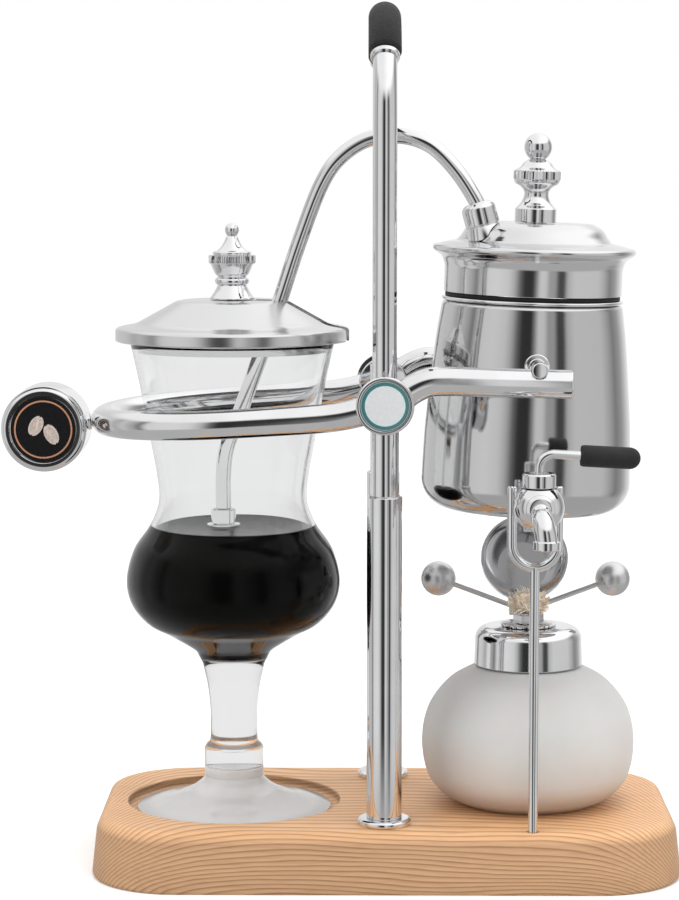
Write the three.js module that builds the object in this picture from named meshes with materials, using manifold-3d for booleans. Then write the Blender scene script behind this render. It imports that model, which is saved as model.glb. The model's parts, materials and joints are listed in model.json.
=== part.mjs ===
// Balance siphon coffee brewer: a kettle over a spirit lamp hangs in a tilting beam, and a siphon tube joins
// it to a brewing glass inside the beam's loop. Millimetres, +Z up, X along the base, -Y the tap's side.
// The origin is on the base's underside, midway between the feet of the two columns.
import * as THREE from 'three';
import { mergeVertices } from 'three/addons/utils/BufferGeometryUtils.js';
import Module from 'manifold-3d';

const wasm = await Module();
wasm.setup();

// ---------------------------------------------------------------- driving dimensions
const GAP = 0.3;                      // clearance between pieces that touch

const BASE = { x: 1, length: 261, depth: 150, height: 25, corner: 38, edge: 5 };
const RECESS = { x: -68, radius: 48, depth: 4 };

const COLUMN_Y = 47;                  // the columns stand at x = 0, y = +-COLUMN_Y
const FLANGE = { radius: 11.8, height: 3 };
const SLEEVE = { radius: 7.75, bore: 6.6, top: 170 };
const TUBE = { radius: 6.2, bore: 5.5, bottom: 140, top: 220 };
const FRAME = { radius: 5.2, bottom: 216, top: 377 };
const GRIP = { radius: 7.2, bore: 5.5, from: 40, to: 140 };
const FERRULE = { radius: 6.4, length: 2.5 };

const PIVOT_Z = 211;                  // height of the beam's tilt axis
const PIN_RADIUS = 3;
const HUB = { radius: 11, inner: 53.6, outer: 66.2 };
const CAP = { radius: 12.45, inner: 66.6, outer: 69.6 };
const INLAY_RADIUS = 10.5;

const ROD = { radius: 6.25, y: 60 };
const LOOP = { x: -65.3, leave: 197, slope: 3.3 };
const ARM = { z: 220.9, rise: 38, end: 80, slope: 1.5 };
const SPIGOT = { radius: 3.7, depth: 5 };
const WEIGHT = { x: -151.8, z: 195.3, radius: 19.2, face: 17.35, length: 28 };

const TRUNNION = { x: 65.7, z: 225.9, radius: 3.4, end: 67, collar: 5.5, collarEnd: 46.5, screw: 2 };
const KETTLE = { x: 63.2, z: 158.5, tilt: 1.8, split: 5, radius: 46.8, corner: 13, top: 93 };
const WALL = 1.6;                     // metal walls of the kettle and its lid
const LID = { bottom: 97, top: 128.3, radius: 39.6, hole: 5.2, split: 112 };
const SEAL_RING = { inner: 37, outer: 39 };

const TAP = { x: 65.1, y: -76, z: 169, ball: 10.9, neck: 5, flow: 3, flange: 8, spindle: 3.3 };
const BONNET = { radius: 7.15, bore: 2.4, bottom: 177.3, top: 183.4 };
const SPOUT = { radius: 4.7, ring: 5.7, bore: 3.2, x: 67.4, y: -92.5, tip: 152.8 };
const LEVER = { radius: 2, bend: 6, z: 191.4, end: 84.6, droop: 3 };
const LEVER_GRIP = { x: 82.5, radius: 4.6, length: 25.3, hollow: 3 };
const CATCH = { x: 64.5, z: 157.7, half: 5, radius: 1.5, post: 1.3 };
const FORK = { x: 64.4, y: -61, rod: 2.1, half: 9.9, bottom: 140.8, top: 176 };

const SIPHON = { azimuth: 8, radius: 3.5, bore: 2.6, mouth: 112.4, mouthZ: 286, screw: 3 };
const FILTER = { s: -4.4, top: 148.7, nutBottom: 149, nutTop: 158.5 };
const GLASS = { x: -68, wall: 2.2, splits: [88, 151] };
const GLASS_LID = { z: 233.9, lip: 52.35, top: 252.5 };
const LID_SLOT = { width: 9.4, from: 10.3 };

const LAMP = { x: 65.5, splits: [36, 70], neckRadius: 20, neckBore: 16, neckTop: 97 };
const LAMP_CAP = { bottom: 87.7, top: 105, radius: 24.5, hole: 4.6, wall: 1.6 };
const PLATE = { bottom: 105.2, top: 106.2, radius: 12.5, half: 4.6, ear: 1.4 };
const AXLE = { radius: 1, hole: 1.3, half: 7.4 };
const WICK_TOP = 122.6;
const HINGE = { y: 25.1, z: 107.6 };  // snuffer hinge axis, along x
const SNUFFER = { radius: 20.15, depth: 18.4, open: 112 };
const HANDLE = { reach: 40.1, rise: 15, ball: 8, arm: 1.2 };

const SIDES = [['front', -1], ['rear', 1]];

// ---------------------------------------------------------------- materials
const finish = (color, roughness, metalness, extra = {}) =>
  new THREE.MeshStandardMaterial({ color, roughness, metalness, ...extra });
const WOOD = finish(0xd3a577, 0.55, 0);
const CHROME = finish(0xd9dadb, 0.08, 1);
const STEEL = finish(0xb9babb, 0.3, 1);
const RUBBER = finish(0x17181a, 0.8, 0);
const ENAMEL = finish(0xdcdfdf, 0.3, 0);
const BADGE = finish(0x131313, 0.3, 0);
const SEAL = finish(0x111111, 0.7, 0);
const CLEAR = finish(0xf4f7f7, 0.03, 0, { transparent: true, opacity: 0.3 });
const FROSTED = finish(0xe9e6e2, 0.6, 0, { transparent: true, opacity: 0.85 });
const COTTON = finish(0xe6cfae, 0.95, 0);

// ---------------------------------------------------------------- solids
const rad = THREE.MathUtils.degToRad;
const v2 = (x, y) => new THREE.Vector2(x, y);
const v3 = (x, y, z) => new THREE.Vector3(x, y, z);

// A closed three.js geometry as a solid whose faces point out.
function solid(geometry) {
  const bare = new THREE.BufferGeometry();
  bare.setAttribute('position', geometry.getAttribute('position'));
  bare.setIndex(geometry.index);
  const merged = mergeVertices(bare, 1e-3);
  const index = merged.index.array;
  const kept = [];
  for (let i = 0; i < index.length; i += 3) {
    const [a, b, c] = [index[i], index[i + 1], index[i + 2]];
    if (a !== b && b !== c && c !== a) kept.push(a, b, c);
  }
  const make = (triangles) => new wasm.Manifold(new wasm.Mesh({
    numProp: 3,
    vertProperties: merged.attributes.position.array,
    triVerts: new Uint32Array(triangles),
  }));
  const made = make(kept);
  return made.volume() < 0 ? make(kept.reverse()) : made;
}

function geometryOf(made) {
  const mesh = made.getMesh();
  const geometry = new THREE.BufferGeometry();
  geometry.setAttribute('position', new THREE.BufferAttribute(mesh.vertProperties.slice(), 3));
  geometry.setIndex(new THREE.BufferAttribute(mesh.triVerts.slice(), 1));
  geometry.computeVertexNormals();
  return geometry;
}

// A profile of [radius, height] points turned about +Z.
function turned(points, segments = 24) {
  const profile = points.map(([r, z]) => v2(Math.max(r, 0), z));
  return solid(new THREE.LatheGeometry(profile, segments).rotateX(Math.PI / 2));
}

// The same, with its axis moved to start at a point and to run along a direction.
function turnedAlong(points, start, direction, segments = 24) {
  const profile = points.map(([r, z]) => v2(Math.max(r, 0), z));
  const geometry = new THREE.LatheGeometry(profile, segments).rotateX(Math.PI / 2);
  const turn = new THREE.Quaternion().setFromUnitVectors(v3(0, 0, 1), direction.clone().normalize());
  return solid(geometry.applyQuaternion(turn).translate(start.x, start.y, start.z));
}

const rod = (radius, start, end, segments = 16) => {
  const along = end.clone().sub(start);
  const length = along.length();
  return turnedAlong([[0, 0], [radius, 0], [radius, length], [0, length]], start, along, segments);
};

const box = (low, high) => {
  const size = high.clone().sub(low);
  const geometry = new THREE.BoxGeometry(size.x, size.y, size.z);
  return solid(geometry.translate(...low.clone().add(high).multiplyScalar(0.5).toArray()));
};

// The part of a solid between two heights.
const between = (made, low, high) => made.intersect(box(v3(-300, -300, low), v3(300, 300, high)));

// A solid sawn across at some heights, lowest piece first, with a gap at each cut.
function sawn(made, heights) {
  const far = 1000;
  const edges = [-far, ...heights, far];
  return edges.slice(1).map((high, i) => between(made, edges[i] + GAP / 2, high - GAP / 2));
}

// Points of an arc from one angle to another, in degrees, both ends included.
function arc(cx, cy, radius, from, to, steps) {
  const points = [];
  for (let i = 0; i <= steps; i += 1) {
    const a = rad(from + (to - from) * i / steps);
    points.push([cx + radius * Math.cos(a), cy + radius * Math.sin(a)]);
  }
  return points;
}

const smooth = (points, steps) =>
  new THREE.SplineCurve(points.map(([x, y]) => v2(x, y))).getPoints(steps).map((p) => [p.x, p.y]);

// A path through a list of points, one extrusion step from each point to the next.
class PointPath extends THREE.Curve {
  constructor(points) {
    super();
    this.points = points;
  }

  getPoint(t) {
    const at = t * (this.points.length - 1);
    const i = Math.min(Math.floor(at), this.points.length - 2);
    return this.points[i].clone().lerp(this.points[i + 1], at - i);
  }

  getUtoTmapping(u) {
    return u;
  }
}

// A round bar through a list of points, or a tube where it has a bore.
function bar(points, radius, sides = 12, bore = 0) {
  const section = new THREE.Shape();
  section.absarc(0, 0, radius, 0, 2 * Math.PI, false);
  if (bore) {
    const hole = new THREE.Path();
    hole.absarc(0, 0, bore, 0, 2 * Math.PI, true);
    section.holes.push(hole);
  }
  return solid(new THREE.ExtrudeGeometry(section, {
    steps: points.length - 1,
    curveSegments: sides / 2,
    extrudePath: new PointPath(points),
    bevelEnabled: false,
  }));
}

const root = new THREE.Group();
function add(parent, name, made, material) {
  const mesh = new THREE.Mesh(geometryOf(made), material);
  mesh.name = name;
  parent.add(mesh);
  return mesh;
}

// ---------------------------------------------------------------- stand
function woodBase() {
  const { length, depth, height, corner, edge } = BASE;
  const [hx, hy] = [length / 2, depth / 2];
  const outline = new THREE.Shape();
  outline.absarc(hx - corner, hy - corner, corner, 0, Math.PI / 2, false);
  outline.absarc(corner - hx, hy - corner, corner, Math.PI / 2, Math.PI, false);
  outline.absarc(corner - hx, corner - hy, corner, Math.PI, 1.5 * Math.PI, false);
  outline.absarc(hx - corner, corner - hy, corner, 1.5 * Math.PI, 2 * Math.PI, false);
  const steps = 7;
  const slab = new THREE.ExtrudeGeometry(outline, {
    depth: height,
    steps,
    curveSegments: 5,
    bevelEnabled: false,
  });
  // The ends lean in a little, the long sides more, and the top edge is rounded over.
  const levels = [0, 1.5, 11, height - edge, height - 0.5 * edge, height - 0.2 * edge,
    height - 0.03 * edge, height];
  const position = slab.getAttribute('position');
  for (let i = 0; i < position.count; i += 1) {
    const level = Math.round(position.getZ(i) / height * steps);
    const z = levels[level];
    const over = Math.max(0, (z - (height - edge)) / edge);
    const round = edge * (1 - Math.sqrt(1 - over * over));
    const foot = z === 0 ? 1.2 : 0;
    const lean = z / height;
    const insetX = foot + round + 2.5 * lean;
    const insetY = foot + round + 8 * lean;
    position.setXYZ(i, position.getX(i) * (1 - insetX / hx), position.getY(i) * (1 - insetY / hy), z);
  }
  let made = solid(slab).translate([BASE.x, 0, 0]);
  const floor = height - RECESS.depth;
  const recess = [[0, floor], [RECESS.radius - 2, floor], [RECESS.radius, floor + 2],
    [RECESS.radius, height - 0.8], [RECESS.radius + 1.6, height + 1], [0, height + 1]];
  made = made.subtract(turned(recess, 24).translate([RECESS.x, 0, 0]));
  for (const [, side] of SIDES) {
    const y = side * COLUMN_Y;
    const bolt = [[0, -1], [8, -1], [8, 7.5], [3.3, 7.5], [3.3, height + 1], [0, height + 1]];
    made = made.subtract(turned(bolt, 12).translate([0, y, 0]));
  }
  return made.subtract(rod(FORK.rod + GAP, v3(FORK.x, FORK.y, 14), v3(FORK.x, FORK.y, 30), 12));
}

function makeStand() {
  add(root, 'wood_base', woodBase(), WOOD);
  const top = BASE.height;
  const crossHole = (y) => rod(PIN_RADIUS + GAP, v3(0, y - 9, PIVOT_Z), v3(0, y + 9, PIVOT_Z), 12);
  for (const [side, sign] of SIDES) {
    const y = sign * COLUMN_Y;
    const flange = [[3.4, top], [FLANGE.radius, top], [FLANGE.radius, top + 2],
      [FLANGE.radius - 1, top + FLANGE.height], [3.4, top + FLANGE.height], [3.4, top]];
    add(root, `foot_flange_${side}`, turned(flange, 16).translate([0, y, 0]), CHROME);

    const foot = top + FLANGE.height;
    const sleeve = [[3.3, foot], [SLEEVE.radius, foot], [SLEEVE.radius, SLEEVE.top - 0.6],
      [SLEEVE.radius - 0.6, SLEEVE.top], [SLEEVE.bore, SLEEVE.top], [SLEEVE.bore, foot + 12],
      [3.3, foot + 12], [3.3, foot]];
    add(root, `column_sleeve_${side}`, turned(sleeve, 12).translate([0, y, 0]), CHROME);

    const tube = [[TUBE.bore, TUBE.bottom], [TUBE.radius, TUBE.bottom], [TUBE.radius, TUBE.top],
      [TUBE.bore, TUBE.top], [TUBE.bore, TUBE.bottom]];
    const drilled = turned(tube, 12).translate([0, y, 0]).subtract(crossHole(y));
    add(root, `column_tube_${side}`, drilled, CHROME);

    const bolt = [[0, 1], [6, 1], [6, 6], [3, 6], [3, foot + 9], [0, foot + 9]];
    add(root, `column_bolt_${side}`, turned(bolt, 12).translate([0, y, 0]), STEEL);
  }

  const arch = FRAME.top - COLUMN_Y;
  const onArch = (angle) =>
    v3(0, -COLUMN_Y * Math.cos(rad(angle)), arch + COLUMN_Y * Math.sin(rad(angle)));
  // A short first and last step turn the ends square to the arch.
  const overArch = (from, to, steps) => [
    onArch(from),
    ...arc(0, arch, COLUMN_Y, 179.5 - from, 180.5 - to, steps).map(([y, z]) => v3(0, y, z)),
    onArch(to),
  ];
  const frame = [
    v3(0, -COLUMN_Y, FRAME.bottom),
    ...overArch(0, 180, 14),
    v3(0, COLUMN_Y, FRAME.bottom),
  ];
  const turn = THREE.MathUtils.radToDeg(FERRULE.length / COLUMN_Y);
  const play = THREE.MathUtils.radToDeg(GAP / COLUMN_Y);
  const ferrule = (from) => bar([onArch(from), onArch(from + turn)], FERRULE.radius, 12);
  const arched = bar(frame, FRAME.radius, 12)
    .add(ferrule(GRIP.from - turn - play))
    .add(ferrule(GRIP.to + play));
  add(root, 'handle_frame', arched, CHROME);
  add(root, 'handle_grip', bar(overArch(GRIP.from, GRIP.to, 8), GRIP.radius, 12, GRIP.bore), RUBBER);

  const { rod: r, half, bottom } = FORK;
  const at = (x, z) => v3(FORK.x + x, FORK.y, z);
  const arms = [at(-half, FORK.top), ...arc(0, bottom + half, half, 180, 360, 12).map(([x, z]) => at(x, z)),
    at(half, FORK.top)];
  const stem = rod(r, at(0, 15), at(0, bottom), 12);
  add(root, 'support_fork', bar(arms, r, 8).add(stem), CHROME);
}

// ---------------------------------------------------------------- beam pivots
function makePivots() {
  for (const [side, sign] of SIDES) {
    const at = (y) => v3(0, sign * y, PIVOT_Z);
    const out = v3(0, sign, 0);
    const inner = COLUMN_Y - TUBE.radius - 1.5;
    add(root, `pivot_pin_${side}`, rod(PIN_RADIUS, at(inner), at(CAP.inner - 1), 12), STEEL);
    const depth = CAP.outer - CAP.inner;
    const rim = [[0, 0], [CAP.radius, 0], [CAP.radius, depth - 0.8], [CAP.radius - 0.8, depth],
      [INLAY_RADIUS + GAP, depth], [INLAY_RADIUS + GAP, 1.2], [0, 1.2]];
    add(root, `pivot_cap_${side}`, turnedAlong(rim, at(CAP.inner), out, 20), CHROME);
    const inlay = [[0, 1.5], [INLAY_RADIUS, 1.5], [INLAY_RADIUS, depth - 0.3], [0, depth]];
    add(root, `pivot_inlay_${side}`, turnedAlong(inlay, at(CAP.inner), out, 20), ENAMEL);
  }
}

// ---------------------------------------------------------------- beam
function makeBeam() {
  const beam = new THREE.Group();
  root.add(beam);
  // The loop drops from its hubs and then slopes gently down to its far end.
  const dip = smooth([[-4, 209.6], [-11, 207.6], [-18, 206], [-26, 204.9], [-36, 204.1]], 8);
  const [bendX, bendZ] = dip[dip.length - 1];
  const inLoop = (x, y) => v3(x, y, bendZ + (x - bendX) * Math.tan(rad(LOOP.slope)));
  const hubSolid = (sign, radius, from, to) =>
    rod(radius, v3(0, sign * from, PIVOT_Z), v3(0, sign * to, PIVOT_Z), 20);
  const bothHubs = (made) => SIDES.reduce((left, [, sign]) =>
    left.subtract(hubSolid(sign, HUB.radius + GAP, HUB.inner - 3, HUB.outer + 3)), made);

  const spigot = (sign, angle, radius, from, to) => {
    const toward = (r) => v3(r * Math.cos(rad(angle)), sign * ROD.y, PIVOT_Z + r * Math.sin(rad(angle)));
    return rod(radius, toward(from), toward(to), 12);
  };
  const innerEnd = HUB.radius - SPIGOT.depth;
  const loopPath = [
    ...dip.map(([x, z]) => v3(x, -ROD.y, z)),
    ...arc(LOOP.x, 0, ROD.y, 270, 90, 16).map(([x, y]) => inLoop(x, y)),
    ...dip.map(([x, z]) => v3(x, ROD.y, z)).reverse(),
  ];
  let loop = bothHubs(bar(loopPath, ROD.radius, 12));
  const end = inLoop(LOOP.x - ROD.y, 0);
  const weight = v3(WEIGHT.x, 0, WEIGHT.z);
  const toWeight = weight.clone().sub(end).normalize();
  const along = (distance) => end.clone().addScaledVector(toWeight, distance);
  loop = loop.subtract(rod(2.8, along(0), along(9), 12));
  for (const [, sign] of SIDES) {
    loop = loop.add(spigot(sign, LOOP.leave, SPIGOT.radius, innerEnd, HUB.radius + 3));
  }
  add(beam, 'beam_loop', loop, CHROME);

  const slope = Math.tan(rad(ARM.slope));
  for (const [side, sign] of SIDES) {
    const y = sign * ROD.y;
    const rise = [[5.5, 212.4], [12, 217.4], [19, 220.4], [27, ARM.z], [35, ARM.z - 8 * slope]];
    const centre = [...smooth(rise, 6), [ARM.end, ARM.z - (ARM.end - 27) * slope]];
    let arm = bothHubs(bar(centre.map(([x, z]) => v3(x, y, z)), ROD.radius, 10));
    const notch = TRUNNION.radius + GAP;
    arm = arm.subtract(rod(notch, v3(TRUNNION.x, y - 9, TRUNNION.z), v3(TRUNNION.x, y + 9, TRUNNION.z), 16));
    arm = arm.subtract(box(v3(TRUNNION.x - notch, y - 9, TRUNNION.z), v3(TRUNNION.x + notch, y + 9, 232)));
    arm = arm.add(spigot(sign, ARM.rise, SPIGOT.radius, innerEnd, HUB.radius + 3));
    add(beam, `beam_arm_${side}`, arm, CHROME);

    let hub = hubSolid(sign, HUB.radius, HUB.inner, HUB.outer);
    hub = hub.subtract(hubSolid(sign, PIN_RADIUS + GAP, HUB.inner - 1, HUB.outer + 1));
    for (const angle of [LOOP.leave, ARM.rise]) {
      hub = hub.subtract(spigot(sign, angle, SPIGOT.radius + GAP, innerEnd - GAP, HUB.radius + 3));
    }
    add(beam, `beam_hub_${side}`, hub, CHROME);
  }

  // The drum's stud has a thin end that screws into the loop.
  const neck = ROD.radius + 0.2;
  const stud = [[0, 1], [2.5, 1], [2.5, neck], [4, neck], [4, 20], [0, 20]];
  const half = WEIGHT.length / 2;
  const seat = half - 1.6;
  const drum = [[0, -half], [WEIGHT.face, -half], ...arc(WEIGHT.radius - 2, 2 - half, 2, -50, 0, 2),
    ...arc(WEIGHT.radius - 2, half - 2, 2, 0, 50, 2), [WEIGHT.face, half], [14.9, half], [14.9, seat],
    [0, seat]];
  const front = v3(0, -1, 0);
  const body = turnedAlong(drum, weight, front, 20).add(turnedAlong(stud, end, toWeight, 12));
  add(beam, 'weight_drum', body, CHROME);
  const badge = [[0, seat + 0.1], [14.6, seat + 0.1], [14.6, half - 0.2], [0, half - 0.2]];
  add(beam, 'weight_badge', turnedAlong(badge, weight, front, 20), BADGE);
}

// ---------------------------------------------------------------- kettle
const kettleTurn = new THREE.Matrix4().makeRotationY(rad(KETTLE.tilt)).setPosition(KETTLE.x, 0, KETTLE.z);
const onKettle = (made) => made.transform(kettleTurn.elements);

// The kettle's outside, from the middle of its bottom to its top edge, grown outwards by a margin.
function kettleOutside(margin, steps = 5) {
  const { radius, corner, top } = KETTLE;
  const side = smooth([[radius, corner], [46.2, 34], [45, 50], [42.5, 76], [40.1, top]], steps);
  return [
    [0, -margin],
    ...arc(radius - corner, corner, corner + margin, -90, 0, 4),
    ...side.slice(1).map(([r, z]) => [r + margin, z]),
  ];
}

const LID_OUTSIDE = [[LID.radius, LID.bottom], [LID.radius, 109], [41.2, 112.6], [44.6, 114.8], [45.3, 116.4],
  [44.3, 117.6], [34.5, 119.8], [32.6, 122.4], [30.2, 126.2], [26, LID.top]];

function makeKettle() {
  const kettle = new THREE.Group();
  root.add(kettle);
  const solidKettle = (margin) => onKettle(turned([...kettleOutside(margin), [0, KETTLE.top]], 24));
  const neckAt = (y) => v3(TAP.x, y, TAP.z);

  const inside = kettleOutside(-WALL).reverse();
  const [dish, wall] = sawn(turned([...kettleOutside(0), ...inside], 24), [KETTLE.split]);
  add(kettle, 'kettle_bottom', onKettle(dish), STEEL);
  let shell = onKettle(wall);
  shell = shell.subtract(rod(TAP.neck + GAP, neckAt(-52), neckAt(-30), 16));
  for (const [side, sign] of SIDES) {
    const at = (y) => v3(TRUNNION.x, sign * y, TRUNNION.z);
    const { radius, end, collar, collarEnd, screw } = TRUNNION;
    const wallY = 40;
    shell = shell.subtract(rod(screw + GAP, at(wallY - 10), at(wallY + 20), 12));
    const outside = rod(radius, at(wallY), at(end), 16).add(rod(collar, at(wallY), at(collarEnd), 16));
    const threaded = rod(screw, at(wallY - 1), at(wallY + 8), 12);
    add(kettle, `trunnion_${side}`, outside.subtract(solidKettle(GAP)).add(threaded), CHROME);
  }
  add(kettle, 'kettle_shell', shell, STEEL);

  const { inner, outer } = SEAL_RING;
  const [sealBottom, sealTop] = [KETTLE.top + GAP, LID.bottom - GAP];
  const seal = [[inner, sealBottom], [outer, sealBottom], [outer, sealTop], [inner, sealTop],
    [inner, sealBottom]];
  add(kettle, 'kettle_seal', onKettle(turned(seal, 24)), SEAL);

  const [under, lidBore] = [LID.top - 1.4, LID.radius - 1.8];
  const lidInside = [[LID.hole, under], [25.6, under], [31, 121.4], [33, 118.6], [lidBore, 116.6],
    [lidBore, LID.bottom]];
  const lidProfile = [...LID_OUTSIDE, [LID.hole, LID.top], ...lidInside, [LID.radius, LID.bottom]];
  const [collar, dome] = sawn(turned(lidProfile, 24), [LID.split]).map(onKettle);
  add(kettle, 'lid_collar', collar, STEEL);
  const lidBlock = onKettle(turned([[0, LID.bottom], ...LID_OUTSIDE, [0, LID.top]], 24));

  // The siphon rises in a vertical plane through the glass's axis: [distance from that axis, height].
  const azimuth = rad(-SIPHON.azimuth);
  const inPlane = (s, z) => v3(GLASS.x + s * Math.cos(azimuth), s * Math.sin(azimuth), z);
  const bend = smooth([[111.7, 288.6], [109.6, 296], [100.5, 310], [89, 321], [75.4, 325.2], [61, 323.6],
    [48.6, 315.6], [40, 303], [30.5, 278.5], [22.2, 253.6]], 14);
  const foot = smooth([[2.2, 199], [-2.9, 185.5], [FILTER.s, 173], [FILTER.s, 163]], 4);
  const tubeEnd = FILTER.nutBottom + 1;
  const route = [...bend, ...foot, [FILTER.s, tubeEnd]].map(([s, z]) => inPlane(s, z));
  add(kettle, 'siphon_tube', bar(route, SIPHON.radius, 8, SIPHON.bore), CHROME);

  const mouth = inPlane(SIPHON.mouth, SIPHON.mouthZ);
  const lean = inPlane(109.6, 296).sub(mouth).normalize();
  const nutAt = (distance) => mouth.clone().addScaledVector(lean, distance);
  add(kettle, 'kettle_lid', dome.subtract(rod(SIPHON.screw, nutAt(-14), nutAt(0), 12)), STEEL);
  const bore = SIPHON.radius + GAP;
  // A boss that flares down to the lid, with a wider nut on top of it.
  const nut = [[bore, -9], [7.9, -9], [7, 0], [7.6, 0.6], [7.6, 7.4], [6.4, 9.6], [4.9, 10.3], [bore, 10.3],
    [bore, -9]];
  // The nut stands on the lid's brim and dome: it is cut back to just clear of them, up and to the left.
  const clearLid = lidBlock.translate([-0.15, 0, 0.32]);
  const seated = turnedAlong(nut, mouth, lean, 16).subtract(clearLid).decompose();
  seated.sort((a, b) => b.volume() - a.volume());
  add(kettle, 'siphon_nut', seated[0], CHROME);

  const filterAt = inPlane(FILTER.s, 0);
  const place = (made) => made.translate([filterAt.x, filterAt.y, 0]);
  const { top, nutBottom, nutTop } = FILTER;
  const filterNut = [[bore, nutBottom], [7.5, nutBottom], [7.5, nutBottom + 2], [5.65, nutBottom + 2.5],
    [5.65, nutTop - 0.6], [5, nutTop], [bore, nutTop], [bore, nutBottom]];
  add(kettle, 'filter_nut', place(turned(filterNut, 12)), CHROME);
  const filter = [[0, 117.5], [12.5, 117.5], [14, 119], [14, 131], [9.5, 137], [5.5, 139], [5.5, top],
    [0, top]];
  add(kettle, 'filter', place(turned(filter, 16)), STEEL);

  makeTap(kettle, solidKettle(GAP), neckAt);
  return kettle;
}

// ---------------------------------------------------------------- tap
function makeTap(kettle, clearKettle, neckAt) {
  const { x, y, z, ball, spindle } = TAP;
  const flow = rod(TAP.flow, neckAt(-100), neckAt(-30), 12);
  const clearBall = solid(new THREE.SphereGeometry(ball + 2 * GAP, 14, 10).translate(x, y, z));
  const flange = rod(TAP.flange, neckAt(-52), neckAt(-40), 16).subtract(clearKettle);
  const tube = rod(TAP.neck, neckAt(-70), neckAt(-34), 16).subtract(clearBall);
  const neck = tube.add(flange).subtract(flow);
  add(kettle, 'tap_neck', neck, CHROME);

  const post = rod(CATCH.post, v3(x, FORK.y, CATCH.z), v3(x, FORK.y, z - TAP.neck + 1), 12)
    .subtract(rod(TAP.neck + GAP, neckAt(-66), neckAt(-50), 20));
  const cross = rod(CATCH.radius, v3(CATCH.x - CATCH.half, FORK.y, CATCH.z),
    v3(CATCH.x + CATCH.half, FORK.y, CATCH.z), 12);
  add(kettle, 'catch_bar', post.add(cross), CHROME);

  const { bottom, top, radius, bore } = BONNET;
  const body = solid(new THREE.SphereGeometry(ball, 14, 10).rotateX(Math.PI / 2).translate(x, y, z))
    .subtract(flow)
    .subtract(rod(spindle + GAP, v3(x, y, z - 6), v3(x, y, z + 20), 16))
    .subtract(box(v3(x - 12, y - 12, bottom - GAP), v3(x + 12, y + 12, bottom + 12)));
  add(kettle, 'tap_body', body, CHROME);
  const bonnet = [[bore, bottom], [radius, bottom], [radius, top - 0.6], [radius - 0.55, top], [bore, top],
    [bore, bottom]];
  add(kettle, 'tap_bonnet', turned(bonnet, 16).translate([x, y, 0]), CHROME);

  const bendDown = arc(-87.5, 161.5, 5, 90, 180, 5).map(([v, w]) => v3(x + (165 - w) * 0.16 + 0.6, v, w));
  const tip = v3(SPOUT.x, SPOUT.y, SPOUT.tip);
  const aboveTip = (rise) => v3(SPOUT.x - 0.1, SPOUT.y, SPOUT.tip + rise);
  const spoutPath = [neckAt(-80), v3(x + 0.3, -84.5, 166.9), ...bendDown, tip];
  const ring = rod(SPOUT.ring, aboveTip(4.2), tip, 20);
  const boreEnd = rod(SPOUT.bore, aboveTip(5.2), v3(SPOUT.x, SPOUT.y, SPOUT.tip - 2.8), 12);
  const collarProfile = [[0, 0], [6.2, 0], [6.2, 2.2], [4.6, 3.2], [0, 3.2]];
  const collar = turnedAlong(collarProfile, neckAt(-84), v3(0, -1, 0), 20);
  const spout = bar(spoutPath, SPOUT.radius, 10).add(ring).add(collar).subtract(boreEnd).subtract(clearBall);
  add(kettle, 'tap_spout', spout, CHROME);

  const lever = new THREE.Group();
  kettle.add(lever);
  const droop = Math.tan(rad(LEVER.droop));
  const knee = x + LEVER.bend;
  const onLever = (u) => v3(u, y, LEVER.z - (u - knee) * droop);
  const bend = arc(knee, LEVER.z - LEVER.bend, LEVER.bend, 180, 90, 5).map(([u, w]) => v3(u, y, w));
  const plugTop = bottom - 0.5;
  const handle = bar([v3(x, y, plugTop - 0.8), ...bend, onLever(LEVER.end)], LEVER.radius, 12);
  const plug = rod(spindle, v3(x, y, z - 5.5), v3(x, y, plugTop), 16).subtract(flow);
  add(lever, 'tap_lever', handle.add(plug), CHROME);
  const gripAxis = v3(1, 0, -droop);
  const gripStart = onLever(LEVER_GRIP.x);
  const hollow = LEVER.radius + GAP;
  const { radius: outer, length, hollow: depth } = LEVER_GRIP;
  const grip = [[hollow, 0], [outer - 0.5, 0], [outer, 0.8], [outer, length - outer + 0.3],
    ...arc(0, length - outer, outer, 0, 90, 4).slice(1), [0, depth], [hollow, depth], [hollow, 0]];
  add(lever, 'lever_grip', turnedAlong(grip, gripStart, gripAxis, 12), RUBBER);
}

// ---------------------------------------------------------------- filler stopper
function makeStopper() {
  const stopper = new THREE.Group();
  root.add(stopper);
  const outline = [[0, 122], [4.4, 122], [4.4, 128.6], [9.25, 128.6], [9.25, 134.6], [8.3, 135.6],
    [6.6, 137.5], [5.4, 141], [7, 144], [10.2, 147.4], [10.45, 151], [8.2, 152.6], [6.2, 155], [4, 156.6],
    ...arc(0, 161.8, 6.2, -50, 90, 6)];
  add(stopper, 'filler_stopper', onKettle(turned(outline, 12)), CHROME);
}

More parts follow.
